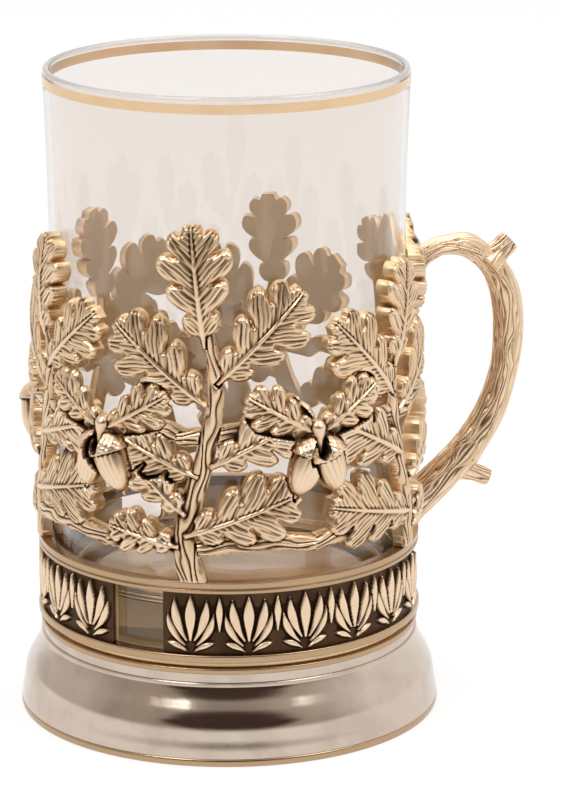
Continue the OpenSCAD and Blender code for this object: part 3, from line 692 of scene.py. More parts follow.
def cast(name, wall, direction, back):
    """Makes a closed mesh of a patch of wall, with its middle in a direction in degrees."""
    deep, proud = wall.hollows()
    fields = np.stack([wall.u, wall.z, wall.face, back + 0 * wall.u, deep, proud], -1)
    hit = wall.inside > 0
    numbers = {"c": np.full(hit.shape, -1)}
    numbers["c"][hit] = np.arange(hit.sum())
    parts, count = [fields[hit]], hit.sum()
    for key, one, two in (("h", np.s_[:-1, :], np.s_[1:, :]), ("v", np.s_[:, :-1], np.s_[:, 1:])):
        cut = hit[one] != hit[two]
        numbers[key] = np.full(cut.shape, -1)
        numbers[key][cut] = count + np.arange(cut.sum())
        parts.append(crossed(*(values[side][cut] for values in (fields, wall.inside) for side in (one, two))))
        count += cut.sum()
    c, h, v = numbers["c"], numbers["h"], numbers["v"]
    places = {"c0": c[:-1, :-1], "c1": c[1:, :-1], "c2": c[1:, 1:], "c3": c[:-1, 1:],
              "e0": h[:, :-1], "e1": v[1:, :], "e2": h[:, 1:], "e3": v[:-1, :]}
    code = hit[:-1, :-1] * 1 + hit[1:, :-1] * 2 + hit[1:, 1:] * 4 + hit[:-1, 1:] * 8
    faces, pairs = [], []
    for kind, polygons in CELLS.items():
        for names in (text.split() for text in polygons):
            rows = np.stack([places[n][code == kind] for n in names], -1)
            faces += rows.tolist() + (rows[:, ::-1] + count).tolist()
            for a, b in zip(range(len(names)), range(1, len(names) + 1)):
                b %= len(names)
                if names[a][0] == names[b][0] == "e":
                    top, low = rows[:, [b, a]], rows[:, [a, b]] + count
                    walls = np.concatenate([top, low], -1)
                    faces += walls.tolist()
                    pairs += [top, top[:, ::-1]]
    u, z, face, back, deep, proud = evened(np.concatenate(parts), np.concatenate(pairs)).T
    angle = u / wall.radius + math.radians(direction)
    rounds = np.stack([np.cos(angle), np.sin(angle)], -1)
    front = np.column_stack([rounds * face[:, None], z])
    behind = np.column_stack([rounds * np.minimum(back, face - LEAST_T)[:, None], z])
    # Hollows carry oxide and painted shade, proud places rubbed brass with a painted highlight, and the back
    # the paler painted inside
    return solid(name, np.vstack([front, behind]).tolist(), faces, sharp=70,
                 recess=np.concatenate([deep, deep * 0]), rub=np.concatenate([proud, proud * 0 + 1]),
                 inner=np.concatenate([deep * 0, deep * 0 + 1]))


print("casting ready")

# %% [markdown]
# Two kinds of outline cover the whole relief. A leaf is a closed outline, and what counts is how far
# a place lies inside it. A branch or an ornament's petal is a stroke: a line with a width that
# changes, and here the place along the line and across it matter too, because bark and veins run
# with them.

# %% Outlines and strokes
def within(outline, u, z):
    """How far each place lies inside a closed outline, below 0 outside."""
    nearest, odd = np.full(u.shape, 1e9), np.zeros(u.shape, bool)
    for (au, az), (bu, bz) in zip(outline, np.roll(outline, -1, axis=0)):
        du, dz = bu - au, bz - az
        t = np.clip(((u - au) * du + (z - az) * dz) / max(du * du + dz * dz, 1e-18), 0, 1)
        nearest = np.minimum(nearest, (u - au - t * du) ** 2 + (z - az - t * dz) ** 2)
        if az != bz:
            odd ^= ((az > z) != (bz > z)) & (u < au + (z - az) / dz * du)
    return np.where(odd, 1, -1) * np.sqrt(nearest)


def stroke(line, u, z):
    """Distance inside a stroke, place along it and across it, and half its width there."""
    inside = np.full(u.shape, -1.0)
    along, across, width = np.zeros((3, *u.shape))
    start = 0
    for (au, az, aw), (bu, bz, bw) in zip(line, line[1:]):
        du, dz = bu - au, bz - az
        run = math.hypot(du, dz)
        t = np.clip(((u - au) * du + (z - az) * dz) / run ** 2, 0, 1)
        half_w = aw + (bw - aw) * t
        off_u, off_z = u - au - t * du, z - az - t * dz
        here = half_w - np.hypot(off_u, off_z)
        nearer = here > inside
        inside = np.where(nearer, here, inside)
        along = np.where(nearer, start + t * run, along)
        across = np.where(nearer, (off_u * dz - off_z * du) / run, across)
        width = np.where(nearer, half_w, width)
        start += run
    return inside, along, across, width


def soft_edge(inside, size):
    """How much a face falls at its outline, from 1 at the very edge to 0 a little way in."""
    return (1 - np.clip(inside / size, 0, 1)) ** 2


print("outlines and strokes ready")

# %% [markdown]
# The oak leaf is what the eye meets first, so it gets the most care. Its outline is half a leaf's
# worth of points, smoothed and mirrored. The blade swells between the veins, dips beside the midrib,
# and carries fine lines that the engraver cut along the veins. The whole leaf is slightly domed.

# %% An oak leaf
LEAF_LEN = 25 * MM
LEAF_W = 15 * MM
LEAF_DOME_R = 46 * MM
# Half of its edge from foot to tip, as shares of the length and of half the width
LEAF_EDGE_SHARES = [
    (0, 0.09), (0.1, 0.12), (0.13, 0.36), (0.21, 0.5), (0.29, 0.44), (0.3, 0.27),
    (0.36, 0.56), (0.45, 0.8), (0.54, 0.74), (0.53, 0.38), (0.59, 0.78), (0.68, 1),
    (0.78, 0.88), (0.75, 0.44), (0.82, 0.66), (0.9, 0.68), (0.95, 0.5), (0.93, 0.3), (0.99, 0.22)]
# Side veins: where each leaves the midrib and where it ends, as shares of length and half width
VEIN_SHARES = [(0.06, 0.21, 0.42), (0.2, 0.47, 0.7), (0.42, 0.7, 0.88), (0.66, 0.9, 0.55)]
VEIN_W = 0.38 * MM
VEIN_OUT = 0.3 * MM
MIDRIB_W = 0.55 * MM
MIDRIB_OUT = 0.25 * MM
MIDRIB_TAPER = 1.3
BLADE_DOWN = 0.62 * MM
BLADE_SWELL = 0.42 * MM
BLADE_RISE_W = 1.6 * MM
LINE_PITCH = 1.1 * MM
LINE_DEEP = 0.13 * MM
LINE_SLOPE = 0.3
# The lines start where the blade has risen by this share
LINE_START = 0.15
# The hand of the engraver: how far the lines wander, and over what lengths
WANDER, SLOW_WANDER = 0.8, 0.5
WANDER_W, WANDER_LEN, SLOW_LEN = 0.8 * MM, 2 * MM, 2.7 * MM
LEAF_EDGE, LEAF_EDGE_W = 0.7 * MM, 0.8 * MM


def leant(u, z, lean):
    """Place along and across a form that leans by degrees to the right of upright."""
    side, rise = math.sin(math.radians(lean)), math.cos(math.radians(lean))
    return u * side + z * rise, u * rise - z * side


def in_leaf(edge, size, along, across):
    """How far each place lies inside a leaf with the given half edge."""
    length, half_w = LEAF_LEN * size, LEAF_W * size / 2
    right_side = [(w * half_w, share * length) for share, w in edge]
    return within(right_side + [(-w, a) for w, a in reversed(right_side)], across, along)


def lay_leaf(wall, foot_u, foot_z, lean, size, crown):
    """Lays one leaf on the wall, from its foot, leaning by degrees to the right."""
    length, half_w = LEAF_LEN * size, LEAF_W * size / 2
    du, dz = wall.u - foot_u, wall.z - foot_z
    along, across = leant(du, dz, lean)
    inside = in_leaf(smooth(LEAF_EDGE_SHARES, steps=5), size, along, across)

    width = abs(across)
    midrib = width / (MIDRIB_TAPER - np.clip(along / length, 0, 1))
    vein = midrib
    for low, high, out in VEIN_SHARES:
        run_w, run_a = out * half_w, (high - low) * length
        t = np.clip((width * run_w + (along - low * length) * run_a) / (run_w ** 2 + run_a ** 2), 0, 1)
        vein = np.minimum(vein, np.hypot(width - t * run_w, along - low * length - t * run_a) * (1 + t))
    slope = length / half_w * LINE_SLOPE
    wander = WANDER * np.sin(width / WANDER_W + along / WANDER_LEN) + SLOW_WANDER * np.sin(along / SLOW_LEN)
    lines = (0.5 + 0.5 * np.cos(2 * math.pi * (along - slope * width) / LINE_PITCH + wander)) ** 2
    blade = np.clip(vein / BLADE_RISE_W, 0, 1)
    falls = (dz - math.cos(math.radians(lean)) * length / 2) ** 2 / (2 * LEAF_DOME_R)
    face = crown - falls - BLADE_DOWN + BLADE_SWELL * blade
    face += VEIN_OUT * np.exp(-(vein / VEIN_W) ** 2) + MIDRIB_OUT * np.exp(-(midrib / MIDRIB_W) ** 2)
    face -= LINE_DEEP * lines * np.clip(2 * (blade - LINE_START), 0, 1)
    face -= LEAF_EDGE * soft_edge(inside, LEAF_EDGE_W)
    wall.lay(inside, face)


print("leaf outline:", len(smooth(LEAF_EDGE_SHARES, steps=5)) * 2, "points")

# %% [markdown]
# Branches are strokes with a round back and bark: wavy ridges that run along the branch and part
# round a knot. The pattern is one wave across the branch whose phase wanders along it.

# %% Branches with bark
BARK_PITCH = 1.25 * MM
BARK_DEEP = 0.34 * MM
# Waves of the bark: how far, over what length, and how they change from groove to groove
BARK_WAVES = [(2.6, 3.7 * MM, 1.2, 8, 0), (1.9, 1.4 * MM, 2, 4, 1)]
# A knot, as shares of its size: its length, its rim, and how far the grooves bend round it
KNOT_LEN, KNOT_RIM, KNOT_BEND = 2.6, 0.2, 1.5
# How dark a knot's rim is, and how dark its own rings
RIM_DARK, RING_DARK = 0.7, 0.3
BRANCH_OUT = 0.8 * MM


def grain(along, across, pitch, knots=()):
    """Bark, 1 on its ridges and 0 in its grooves, that parts round knots of a given place and size."""
    eyes, rims, there = np.zeros((3, *np.shape(across)))
    for knot_a, knot_c, size in knots:
        room = size * np.clip(1 - ((along - knot_a) / (KNOT_LEN * size)) ** 2, 1e-6, 1)
        tip = np.clip(3 * room / size, 0, 1)
        off = across - knot_c
        beyond = abs(off) - room
        there = np.maximum(there, tip * (beyond < 0))
        eyes = np.where(beyond < 0, 1 - RING_DARK + RING_DARK * np.cos(2 * math.pi * off / room), eyes)
        rims = np.maximum(rims, RIM_DARK * tip * np.exp(-(beyond / (KNOT_RIM * size)) ** 2))
        moved = np.clip(abs(off) - room * np.exp(-np.clip(beyond, 0, None) / (KNOT_BEND * size)), 0, None)
        across = knot_c + np.sign(off) * moved
    phase = 2 * math.pi * across / pitch
    wave = sum(far * np.sin(along / length + change * np.sin(phase / every + start))
               for far, length, change, every, start in BARK_WAVES)
    lines = np.sqrt(0.5 + 0.5 * np.cos(phase + wave))
    return (lines + (eyes - lines) * there) * (1 - rims)


def lay_branch(wall, line, rise):
    """Lays a branch along a line of places and half widths."""
    inside, along, across, width = stroke(line, wall.u, wall.z)
    face = stem_r - rise / 3 + rise * np.sqrt(np.clip(1 - (across / np.maximum(width, MM)) ** 2, 0, 1))
    wall.lay(inside, face - BARK_DEEP * (1 - grain(along, across, BARK_PITCH)))


print("bark ridges every", BARK_PITCH, "m")

# %% [markdown]
# An acorn is a body of revolution that hangs from its cup. On the grid it needs only its radius at
# each place along its own axis: the face then stands out by the height of a circle. The cup gets a
# lattice of small scales and the nut a few fine lines and a point.

# %% An acorn
NUT_LEN = 8.6 * MM
NUT_R = 3.3 * MM
CUP_LIP = 0.6 * MM
CUP_H = 4 * MM
ACORN_SPREAD = 42
SCALE_OUT = 0.22 * MM
SCALE_W = 1.5 * MM
NUT_FULLNESS = 2.2
TIP_W, TIP_LEN = NUT_R * 0.35, NUT_R * 0.9
NUT_LINE, NUT_LINE_W = 0.05 * MM, 0.16 * MM


def acorn(side, u, z):
    """Distance inside an acorn, and how far its face stands out of its own axis."""
    along, across = leant(u, -z, side * ACORN_SPREAD / 2)
    cup_share = np.clip(1 - along / CUP_H, 0, 1)
    cup_r = (NUT_R + CUP_LIP) * np.sqrt(1 - cup_share ** 2)
    nut_share = np.clip((along - CUP_H) / (NUT_LEN - NUT_R / 3), 0, 1)
    nut_r = NUT_R * np.sqrt(1 - nut_share ** NUT_FULLNESS)
    tip_r = TIP_W * np.clip((CUP_H + NUT_LEN - along) / TIP_LEN, 0, 1)
    radius = np.where(along < CUP_H, cup_r, np.maximum(nut_r, tip_r))
    inside = np.minimum(radius - abs(across), np.minimum(along, CUP_H + NUT_LEN - along))
    out = np.sqrt(np.clip(radius ** 2 - across ** 2, 0, None))
    round_turn = np.arcsin(np.clip(across / np.maximum(radius, 1e-6), -1, 1)) * NUT_R
    a, b = (along + round_turn) / SCALE_W, (along - round_turn) / SCALE_W
    scales = SCALE_OUT * abs(np.sin(math.pi * a) * np.sin(math.pi * b)) ** 0.5
    lines = NUT_LINE * np.cos(round_turn / NUT_LINE_W)
    return inside, out + np.where(along < CUP_H, scales - SCALE_OUT, lines * (out > NUT_R / 2))


print("an acorn is", round(CUP_H + NUT_LEN, 4), "m long")

# %% [markdown]
# A spray is laid from the back to the front: twigs that run out to the neighbouring castings, the
# main branch, then the leaves. Each casting ends exactly at the edge of its own sector, where the
# next one is soldered on. Where a pair of acorns will be laid over a seam, the leaves behind it are
# let in a little, as a silversmith would file a seat.

# %% Ties and seats
TRUNK_ANGLE = 40
SPRAYS = 5
TIE_W = 3 * MM
TIE_LOW, TIE_HIGH = 6 * MM, 27 * MM
TIE_OUT = BRANCH_OUT * 0.8
# A twig is drawn a little past the edge that cuts it
OVERRUN = 1.1
CLUSTER_LEAN = 58
CLUSTER_LEAF = 0.62
SEAT_GAP = 0.3 * MM
# A leaf's edge without the notches between its lobes
LEAF_HULL_SHARES = [LEAF_EDGE_SHARES[i] for i in (0, 2, 3, 7, 11, 12, 15, 16, 18)]

spray_angle = (360 - TRUNK_ANGLE) / SPRAYS
spray_half = stem_r * math.radians(spray_angle) / 2


def lay_ties(wall, from_u, half):
    """Lays the twigs that run out to both edges of a casting."""
    for level in (TIE_LOW, TIE_HIGH):
        for side in (-1, 1):
            line = smooth([(from_u, rail_top + level, TIE_W / 2),
                           (side * half / 2, rail_top + level + TIE_W / 2, TIE_W / 2),
                           (side * half * OVERRUN, rail_top + level, TIE_W / 2)], steps=5)
            lay_branch(wall, line, TIE_OUT)


def cluster_room(wall, offset, gap):
    """How far a place lies inside the seat of a casting that is laid over a seam."""
    u, z = wall.u - offset, wall.z - rail_top - TIE_HIGH
    room = np.minimum(TIE_W / 2 + gap - abs(u), TIE_W + gap - abs(z + TIE_W / 2))
    for side in (-1, 1):
        along, across = leant(u, z, side * CLUSTER_LEAN)
        room = np.maximum(room, in_leaf(LEAF_HULL_SHARES, CLUSTER_LEAF, along, across) + gap)
        room = np.maximum(room, acorn(side, u, z)[0] + gap)
    return room


print("each spray takes", round(spray_angle, 1), "degrees of the cage")

# %% [markdown]
# Now the five sprays themselves. There are three kinds, so that no two side by side look alike, and
# their heights differ too. A spray could be drawn leaf by leaf as separate meshes, but a casting is
# one piece of metal, and on the grid its leaves and branches grow together by themselves.

# %% The five sprays
SPRAY_PITCH = 0.18 * MM
SPRAY_ROOM = 4 * MM
BRANCH_W = 4.6 * MM
# Leaves take turns on layers of this depth, so that neighbours don't lie level
LAYERS, LAYER_STEP = 4, 0.22 * MM
# The main branch of each kind of spray: place, as shares of half its width and of its height,
# and thickness
BRANCH_SHARES = [
    [(-0.15, 0, 1.2), (-0.22, 0.14, 0.95), (-0.04, 0.34, 0.8), (0.08, 0.54, 0.65), (0, 0.72, 0.4)],
    [(0.36, 0, 1.2), (0.32, 0.16, 0.95), (0.1, 0.38, 0.8), (-0.02, 0.58, 0.65), (0, 0.74, 0.4)],
    [(-0.42, 0, 1.2), (-0.34, 0.16, 0.95), (-0.04, 0.38, 0.8), (0.12, 0.6, 0.65), (0.06, 0.74, 0.4)]]
# Its leaves in the order of laying: place in the same shares, lean in degrees, and size
LEAF_SHARES = [
    [(-0.02, 0.66, -6, 0.92), (0.08, 0.56, 44, 0.95), (0, 0.5, -50, 0.93), (0.02, 0.33, 62, 0.86),
     (-0.2, 0.19, -44, 0.62), (-0.08, 0.3, -66, 0.76), (-0.22, 0.13, 70, 0.92), (-0.26, 0.1, -78, 0.58)],
    [(-0.02, 0.68, 12, 0.82), (0, 0.58, -44, 0.92), (0.06, 0.52, 54, 0.85), (0.12, 0.36, -62, 0.95),
     (0.28, 0.26, 62, 0.6), (0.32, 0.13, -76, 0.98), (0.38, 0.07, 72, 0.48)],
    [(0.06, 0.69, 4, 0.8), (0.12, 0.6, 50, 0.82), (0.08, 0.52, -42, 0.95), (0.02, 0.38, 72, 0.78),
     (-0.18, 0.29, -62, 0.7), (-0.28, 0.17, 75, 0.98), (-0.38, 0.08, -72, 0.46)]]
# The kind and the height of each casting
SPRAY_PLAN = {
    "oak_spray_right": (1, 53 * MM), "oak_spray_front": (0, 66 * MM), "oak_spray_left": (2, 59 * MM),
    "oak_spray_back_left": (1, 55 * MM), "oak_spray_back_right": (2, 55 * MM)}

for index, (node, (kind, height)) in enumerate(SPRAY_PLAN.items()):
    wall = Wall(spray_half, rail_top, rail_top + height + SPRAY_ROOM, SPRAY_PITCH, stem_r)
    trunk = BRANCH_SHARES[kind]
    lay_ties(wall, trunk[1][0] * spray_half, spray_half)
    main = smooth([(x * spray_half, rail_top + y * height, w * BRANCH_W / 2) for x, y, w in trunk], steps=6)
    lay_branch(wall, main, BRANCH_OUT)
    for layer, (x, y, lean, size) in enumerate(LEAF_SHARES[kind]):
        crown = crown_r - LAYER_STEP * (-layer % LAYERS)
        lay_leaf(wall, x * spray_half, rail_top + y * height, lean, size, crown)
    seats = [side for side, there in ((1, index > 0), (-1, index < SPRAYS - 1)) if there]
    for side in seats:
        room = cluster_room(wall, side * spray_half, SEAT_GAP)
        wall.face = np.where(room > 0, np.minimum(wall.face, seat_r), wall.face)
    edge = np.minimum(spray_half - abs(wall.u), wall.z - rail_top)
    wall.inside = np.minimum(wall.inside, edge)
    direction = -TRUNK_ANGLE / 2 - spray_angle * (index + 0.5)
    finish(cast(node + "_casting", wall, direction, cage_r), antique_brass, node)

# %% [markdown]
# A pair of acorns hides each seam between two sprays. On the real holder it is a casting of its own
# with two small leaves and a stalk. Spheres and cups would be quick to make, but they would have to
# be joined to their leaves. On a grid of its own the pair is one closed mesh, like every casting.

# %% Acorns over the seams
CLUSTER_PITCH = 0.14 * MM
CLUSTERS = ["acorn_cluster_right", "acorn_cluster_left", "acorn_cluster_back_left", "acorn_cluster_back"]
CLUSTER_HALF, CLUSTER_UP = 16 * MM, 12 * MM
STALK_SHARES = [(-1, 0.3), (0, 0.4), (0.5, 0.45)]
STALK_OUT, STALK_ROUND, STALK_ROUND_W = 0.6 * MM, 0.9 * MM, TIE_W * 0.45

for index, node in enumerate(CLUSTERS):
    middle = rail_top + TIE_HIGH
    wall = Wall(CLUSTER_HALF, middle - CUP_H - NUT_LEN, middle + CLUSTER_UP, CLUSTER_PITCH, stem_r)
    for side in (-1, 1):
        lay_leaf(wall, 0, middle, side * CLUSTER_LEAN, CLUSTER_LEAF, crown_r)
    for side in (-1, 1):
        inside, out = acorn(side, wall.u, wall.z - middle)
        wall.lay(inside, stem_r + CUP_LIP + out)
    stalk = [(0, middle + up * TIE_W, share * TIE_W) for up, share in STALK_SHARES]
    inside = stroke(stalk, wall.u, wall.z)[0]
    wall.lay(inside, crown_r + STALK_OUT - STALK_ROUND * soft_edge(inside, STALK_ROUND_W))
    direction = -TRUNK_ANGLE / 2 - spray_angle * (index + 1)
    finish(cast(node + "_casting", wall, direction, seat_r), antique_brass, node)

# %% [markdown]
# The frieze is three curved castings with a row of palmettes, an ornament as old as pottery. One
# palmette is drawn in half a box, and folding the place along the wall into that half box repeats
# and mirrors it. The petals are slightly round, and the ground behind them is dark with oxide.

# %% Frieze
PANELS = ["frieze_panel_front", "frieze_panel_side", "frieze_panel_back"]
GROUND_T = 1.5 * MM
ORNAMENT_MARGIN = 0.65 * MM
ORNAMENT_EDGE = 0.3 * MM
PETAL_SWELL = 0.14 * MM
# How much of its height a petal gains from its edge to its middle, and over what width
PETAL_ROUND, PETAL_ROUND_W = 0.2, 1 * MM
GROUND_STAIN = 0.72
WINDOW_ANGLE, WINDOW_TURN = 17, -138.5
FRIEZE_PITCH = 0.16 * MM
# Foot, tip, bow and half width of each petal, as shares of its box. The last is the dart between two.
PETAL_SHARES = [
    (0, 0.2, 0, 1, 0, 0.1), (0.07, 0.2, 0.28, 0.94, -0.16, 0.084), (0.1, 0.11, 0.4, 0.68, -0.2, 0.07),
    (0.07, 0, 0.41, 0.15, 0.14, 0.056), (0.5, 0.36, 0.5, 1, 0, 0.066)]
PETAL_WIDTH_SHARES = [0.25, 0.53, 0.86, 0.97, 0.64, 0.1]

ground_r = cage_r + GROUND_T
panel_angle = 360 / len(PANELS)
panel_half = ground_r * math.radians(panel_angle - WINDOW_ANGLE) / 2
frieze_h = upper_rail_z - frieze_z
palmettes = round(2 * panel_half / (frieze_h - ORNAMENT_MARGIN))
box_w, box_h = 2 * panel_half / palmettes, frieze_h - 2 * ORNAMENT_MARGIN


def petal(foot_x, foot_y, tip_x, tip_y, bow, half_w):
    """One petal as a stroke in its box."""
    foot, tip = np.array((foot_x * box_w, foot_y * box_h)), np.array((tip_x * box_w, tip_y * box_h))
    middle = (foot + tip) / 2 + np.array((foot[1] - tip[1], tip[0] - foot[0])) * bow
    line = []
    for t, share in zip(np.linspace(0, 1, len(PETAL_WIDTH_SHARES)), PETAL_WIDTH_SHARES):
        place = foot * (1 - t) ** 2 + middle * 2 * t * (1 - t) + tip * t ** 2
        line.append((*place, half_w * box_w * share))
    return smooth(line, steps=3)


for index, node in enumerate(PANELS):
    wall = Wall(panel_half, frieze_z, upper_rail_z, FRIEZE_PITCH, ground_r)
    room = np.minimum(wall.z - frieze_z, upper_rail_z - wall.z)
    wall.inside = np.minimum(room, panel_half - abs(wall.u))
    box_u = abs((wall.u + panel_half) % box_w - box_w / 2)
    above = wall.z - frieze_z - ORNAMENT_MARGIN
    petals = [stroke(petal(*row), box_u, above)[0] for row in PETAL_SHARES]
    petals[-1][abs(wall.u) > panel_half - box_w / 4] = -1
    deep_in = np.max(petals, axis=0) + PETAL_SWELL
    rise = np.clip(deep_in / ORNAMENT_EDGE, 0, 1)
    rise = rise * rise * (3 - 2 * rise)
    swell = 1 - PETAL_ROUND + PETAL_ROUND * np.clip(deep_in / PETAL_ROUND_W, 0, 1)
    wall.face = ground_r + (ornament_r - ground_r) * rise * swell
    wall.stain = GROUND_STAIN * (1 - rise)
    direction = WINDOW_TURN + panel_angle * (index + 0.5)
    finish(cast(node + "_casting", wall, direction, cage_r), antique_brass, node)

# %% [markdown]
# On the handle's side the cage is a piece of trunk. It has deep bark and two round seats with flat
# faces, where the ends of the handle are soldered on. It is laid on a grid like the sprays, with
# the seats last, so that no bark or leaf stands in front of them.

# %% Trunk
TRUNK_H = 58 * MM
# Share of its height, and share of half its width there
TRUNK_EDGE_SHARES = [
    (0, 0.94), (0.06, 0.66), (0.16, 0.5), (0.32, 0.42), (0.5, 0.4), (0.66, 0.44),
    (0.8, 0.56), (0.88, 0.5), (0.95, 0.32), (1, 0.12)]
# Its leaves, in the same way as on the sprays
TRUNK_LEAF_SHARES = [
    (-0.12, 0.64, -30, 0.74), (0.14, 0.68, 27, 0.74), (-0.2, 0.3, -52, 0.62), (0.2, 0.36, 50, 0.62)]
RIB_LOW, RIB_ROUND = 0.24 * MM, 0.96 * MM
TRUNK_GROOVE = 0.75 * MM
TRUNK_BARK_PITCH = 1.5 * MM
# Place up the trunk, place across it, and size
TRUNK_KNOTS = [(23 * MM, 0.5 * MM, 1.5 * MM)]
HANDLE_T = 6 * MM
HANDLE_FOOT = 0.4 * MM
HANDLE_RISE = 50.8 * MM
LOWER_SEAT, UPPER_SEAT = 0.85, 1
UPPER_SEAT_SHARE = 0.939
SEAT_ROUND, SEAT_ROUND_W = 0.4 * MM, 0.5 * MM

seat_x = min(corner.co.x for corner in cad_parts["handle"].data.vertices)
trunk_half = stem_r * math.radians(TRUNK_ANGLE) / 2
hang = HANDLE_T * LOWER_SEAT - HANDLE_FOOT
wall = Wall(trunk_half, rail_top - hang, rail_top + TRUNK_H, SPRAY_PITCH, stem_r)
lay_ties(wall, 0, trunk_half)
edge = smooth(TRUNK_EDGE_SHARES, steps=6)
wide = np.interp((wall.z - rail_top) / TRUNK_H, edge[:, 0], edge[:, 1]) * trunk_half
across = np.clip(wall.u / wide, -1, 1)
inside = np.minimum(wide - abs(wall.u), rail_top + TRUNK_H - wall.z)
ridges = grain(wall.z - rail_top, wall.u, TRUNK_BARK_PITCH, TRUNK_KNOTS)
face = stem_r + RIB_LOW + RIB_ROUND * np.sqrt(1 - across ** 2) - TRUNK_GROOVE * (1 - ridges)
wall.lay(inside, face)
for x, y, lean, size in TRUNK_LEAF_SHARES:
    lay_leaf(wall, x * trunk_half, rail_top + y * TRUNK_H, lean, size, crown_r)
wall.inside = np.minimum(wall.inside, wall.z - rail_top)
for level, radius in ((0, HANDLE_T * LOWER_SEAT), (HANDLE_RISE * UPPER_SEAT_SHARE, HANDLE_T * UPPER_SEAT)):
    turned = wall.u / stem_r
    inside = radius - np.hypot(seat_x * np.tan(turned), wall.z - rail_top - HANDLE_FOOT - level)
    wall.lay(inside, seat_x / np.cos(turned) - SEAT_ROUND * soft_edge(inside, SEAT_ROUND_W))
wall.inside = np.minimum(wall.inside, trunk_half - abs(wall.u))
back = np.where(wall.z < rail_top, ornament_r + SEAT_GAP, cage_r)
finish(cast("trunk_casting", wall, 0, back), antique_brass, "trunk_panel")

# %% [markdown]
# The handle is a branch with two cut side twigs. Rings of points follow its centre line. The bark
# is the same pattern as on the trunk, wrapped round: a whole number of grooves fits the ring, so
# that it closes without a seam. Both ends slide onto the flat seats of the trunk.

# %% Handle
HANDLE_REACH = 20 * MM
# Its centre line, as shares of reach and rise, and its thickness
HANDLE_SHARES = [
    (0, 0, 1.12), (0.3, 0.1, 1.1), (0.58, 0.207, 1.05), (0.8, 0.335, 0.98), (0.94, 0.488, 0.92),
    (1, 0.644, 0.99), (0.965, 0.789, 0.96), (0.82, 0.906, 0.84), (0.58, 0.981, 0.67), (0.32, 1, 0.63),
    (0.12, 0.976, 0.65), (0, 0.939, 0.72)]
# Root and tip of each side twig in the same shares, and its size
STUB_SHARES = [((0.76, 0.917), (0.99, 0.998), 1), ((0.46, 0.125), (0.79, 0.071), 0.8)]
STUB_WIDTH_SHARES = [1.5, 1.35, 1.18, 1.04, 1, 1.02, 0.95]
STUB_T = 4.4 * MM
# Rings on a cut end: how far out, and how bright from 0 to 1
YEAR_RINGS = [(0.9, 0.9), (0.7, 0.4), (0.45, 0.9), (0.2, 0.4), (0.02, 0.8)]
LUMPS = 0.06
LUMP_TURN = math.radians(44)
# Lumps round the branch: their share, their number, and how they turn along it
LUMP_WAVES = [(1, 3, 1), (0.5, 5, -2)]
HANDLE_STEPS, HANDLE_SIDES = 24, 192
HANDLE_GROOVES, STUB_GROOVES = 24, 16
HANDLE_GROOVE = 0.2 * MM
# Knots: place along the branch, place round it in degrees, and size
HANDLE_KNOTS = [(14 * MM, -85, 1.2 * MM), (37 * MM, -115, 1.3 * MM), (55 * MM, -75, 1.1 * MM)]
# Where the side twigs leave it: place along the branch, length and height of the swelling
SWELLINGS = [(13.5 * MM, 2.6 * MM, 0.5 * MM), (61 * MM, 3 * MM, 0.9 * MM)]
# How much shallower the bark is on the outside, where hands wear it, and how wide that strip is
WORN, WORN_WIDE = 0.75, 0.9
# Bark is darker in its grooves below the first height, by at most the second number, with oxide
# and painted shade, and paler above the third, rubbed and with a painted highlight
HANDLE_DARK_BELOW, HANDLE_DARKEST, HANDLE_RUBBED_HIGHLIGHT = 0.5, 0.35, 0.4


def limb(line, grooves, knots=(), swellings=(), worn=0.0):
    """Rings of corners along a line of places and half widths, with the ridges of their bark."""
    ways = np.gradient(line[:, :2], axis=0)
    ways /= np.linalg.norm(ways, axis=1)[:, None]
    steps_long = np.linalg.norm(np.diff(line[:, :2], axis=0), axis=1)
    along = np.concatenate([[0], np.cumsum(steps_long)])[:, None]
    turn_by = np.linspace(-math.pi, math.pi, HANDLE_SIDES, endpoint=False)[None, :]
    half_w = line[:, 2:]
    middle_w = half_w.mean()
    round_knots = [(a, math.radians(degrees) * middle_w, size) for a, degrees, size in knots]
    ridges = grain(along + 0 * turn_by, turn_by * middle_w + 0 * along,
                   2 * math.pi * middle_w / grooves, round_knots)
    lump = LUMP_TURN * np.arange(len(line))[:, None] / HANDLE_STEPS
    lumps = LUMPS * sum(share * np.cos(count * turn_by + turns * lump) for share, count, turns in LUMP_WAVES)
    outside = np.exp(-(abs(abs(turn_by) - math.pi) / WORN_WIDE) ** 2)
    ridges = 1 - (1 - ridges) * (1 - worn * outside)
    radius = half_w * (1 + lumps) - HANDLE_GROOVE * (1 - ridges)
    for place, length, height in swellings:
        radius = radius + height * np.exp(-((along - place) / length) ** 2) * outside
    aside = radius * np.cos(turn_by)
    rings = np.stack([line[:, :1] - ways[:, 1:] * aside, radius * np.sin(turn_by),
                      line[:, 1:2] + ways[:, :1] * aside], -1)
    return rings, ridges, ways


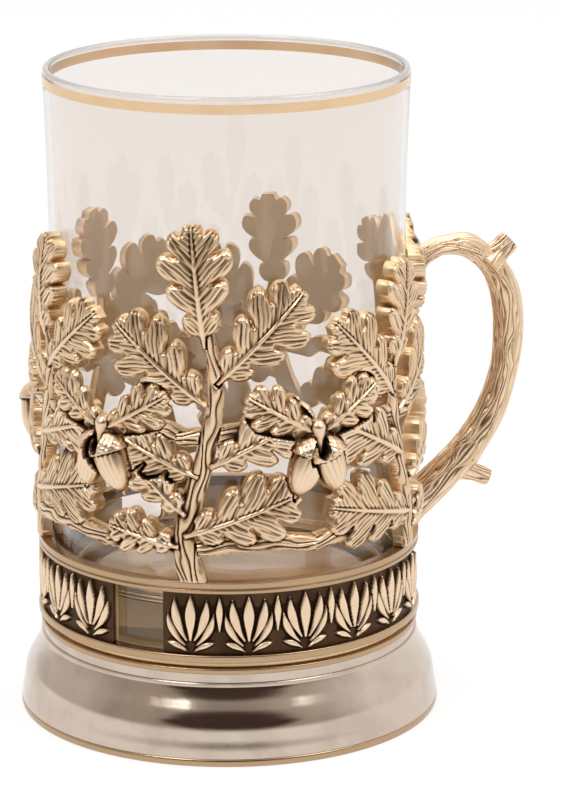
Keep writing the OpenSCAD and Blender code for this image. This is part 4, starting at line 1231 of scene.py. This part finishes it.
def ring_faces(rings, first):
    """Faces between rings of corners, and one on each end."""
    count, sides = rings.shape[:2]
    numbers = first + np.arange(count * sides).reshape(count, sides)
    after = np.roll(numbers, -1, axis=1)
    quads = np.stack([numbers[:-1], after[:-1], after[1:], numbers[1:]], -1).reshape(-1, 4)
    return quads.tolist() + [numbers[0, ::-1].tolist(), numbers[-1].tolist()]


foot_up = rail_top + HANDLE_FOOT
line = smooth([(seat_x + out * HANDLE_REACH, foot_up + above * HANDLE_RISE, thick * HANDLE_T / 2)
               for out, above, thick in HANDLE_SHARES], HANDLE_STEPS)
rings, ridges, ways = limb(line, HANDLE_GROOVES, HANDLE_KNOTS, SWELLINGS, WORN)
for at in (0, -1):
    slide = seat_x - rings[at, :, 0]
    rings[at] += slide[:, None] * np.array([1, 0, ways[at, 1] / ways[at, 0]])
rings[..., 0] = np.maximum(rings[..., 0], seat_x)
corners, faces, heights = [rings.reshape(-1, 3)], ring_faces(rings, 0), [ridges.ravel()]

for root, tip, size in STUB_SHARES:
    widths = smooth([(share, 0) for share in STUB_WIDTH_SHARES], steps=8)[:, 0]
    shares = np.linspace(0, 1, len(widths))
    out, above = (root[i] + (tip[i] - root[i]) * shares for i in (0, 1))
    line = np.column_stack([seat_x + out * HANDLE_REACH, foot_up + above * HANDLE_RISE,
                            widths * size * STUB_T / 2])
    rings, ridges, _ = limb(line, STUB_GROOVES)
    middle = rings[-1].mean(axis=0)
    cut = [middle + (rings[-1] - middle) * share for share, _ in YEAR_RINGS]
    rings = np.concatenate([rings, cut])
    ridges = np.concatenate([ridges] + [np.full((1, HANDLE_SIDES), height) for _, height in YEAR_RINGS])
    faces += ring_faces(rings, sum(map(len, corners)))
    corners.append(rings.reshape(-1, 3))
    heights.append(ridges.ravel())

heights = np.concatenate(heights)
# Grooves darken with oxide and painted shade, ridges turn to rubbed brass with a painted highlight
branch = solid("branch_handle", np.vstack(corners).tolist(), faces, sharp=60,
               recess=np.clip(HANDLE_DARK_BELOW - heights, 0, HANDLE_DARKEST),
               rub=np.clip(2 * (heights - HANDLE_RUBBED_HIGHLIGHT), 0, 1))
finish(branch, antique_brass, "handle")

# %% [markdown]
# At the end the size is measured again and printed. Finer pieces may round an edge, but nothing
# may stick out of the construction.

# %% Measure the size and finish
low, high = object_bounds()
print("size:", [round(v, 4) for v in high - low], "m")
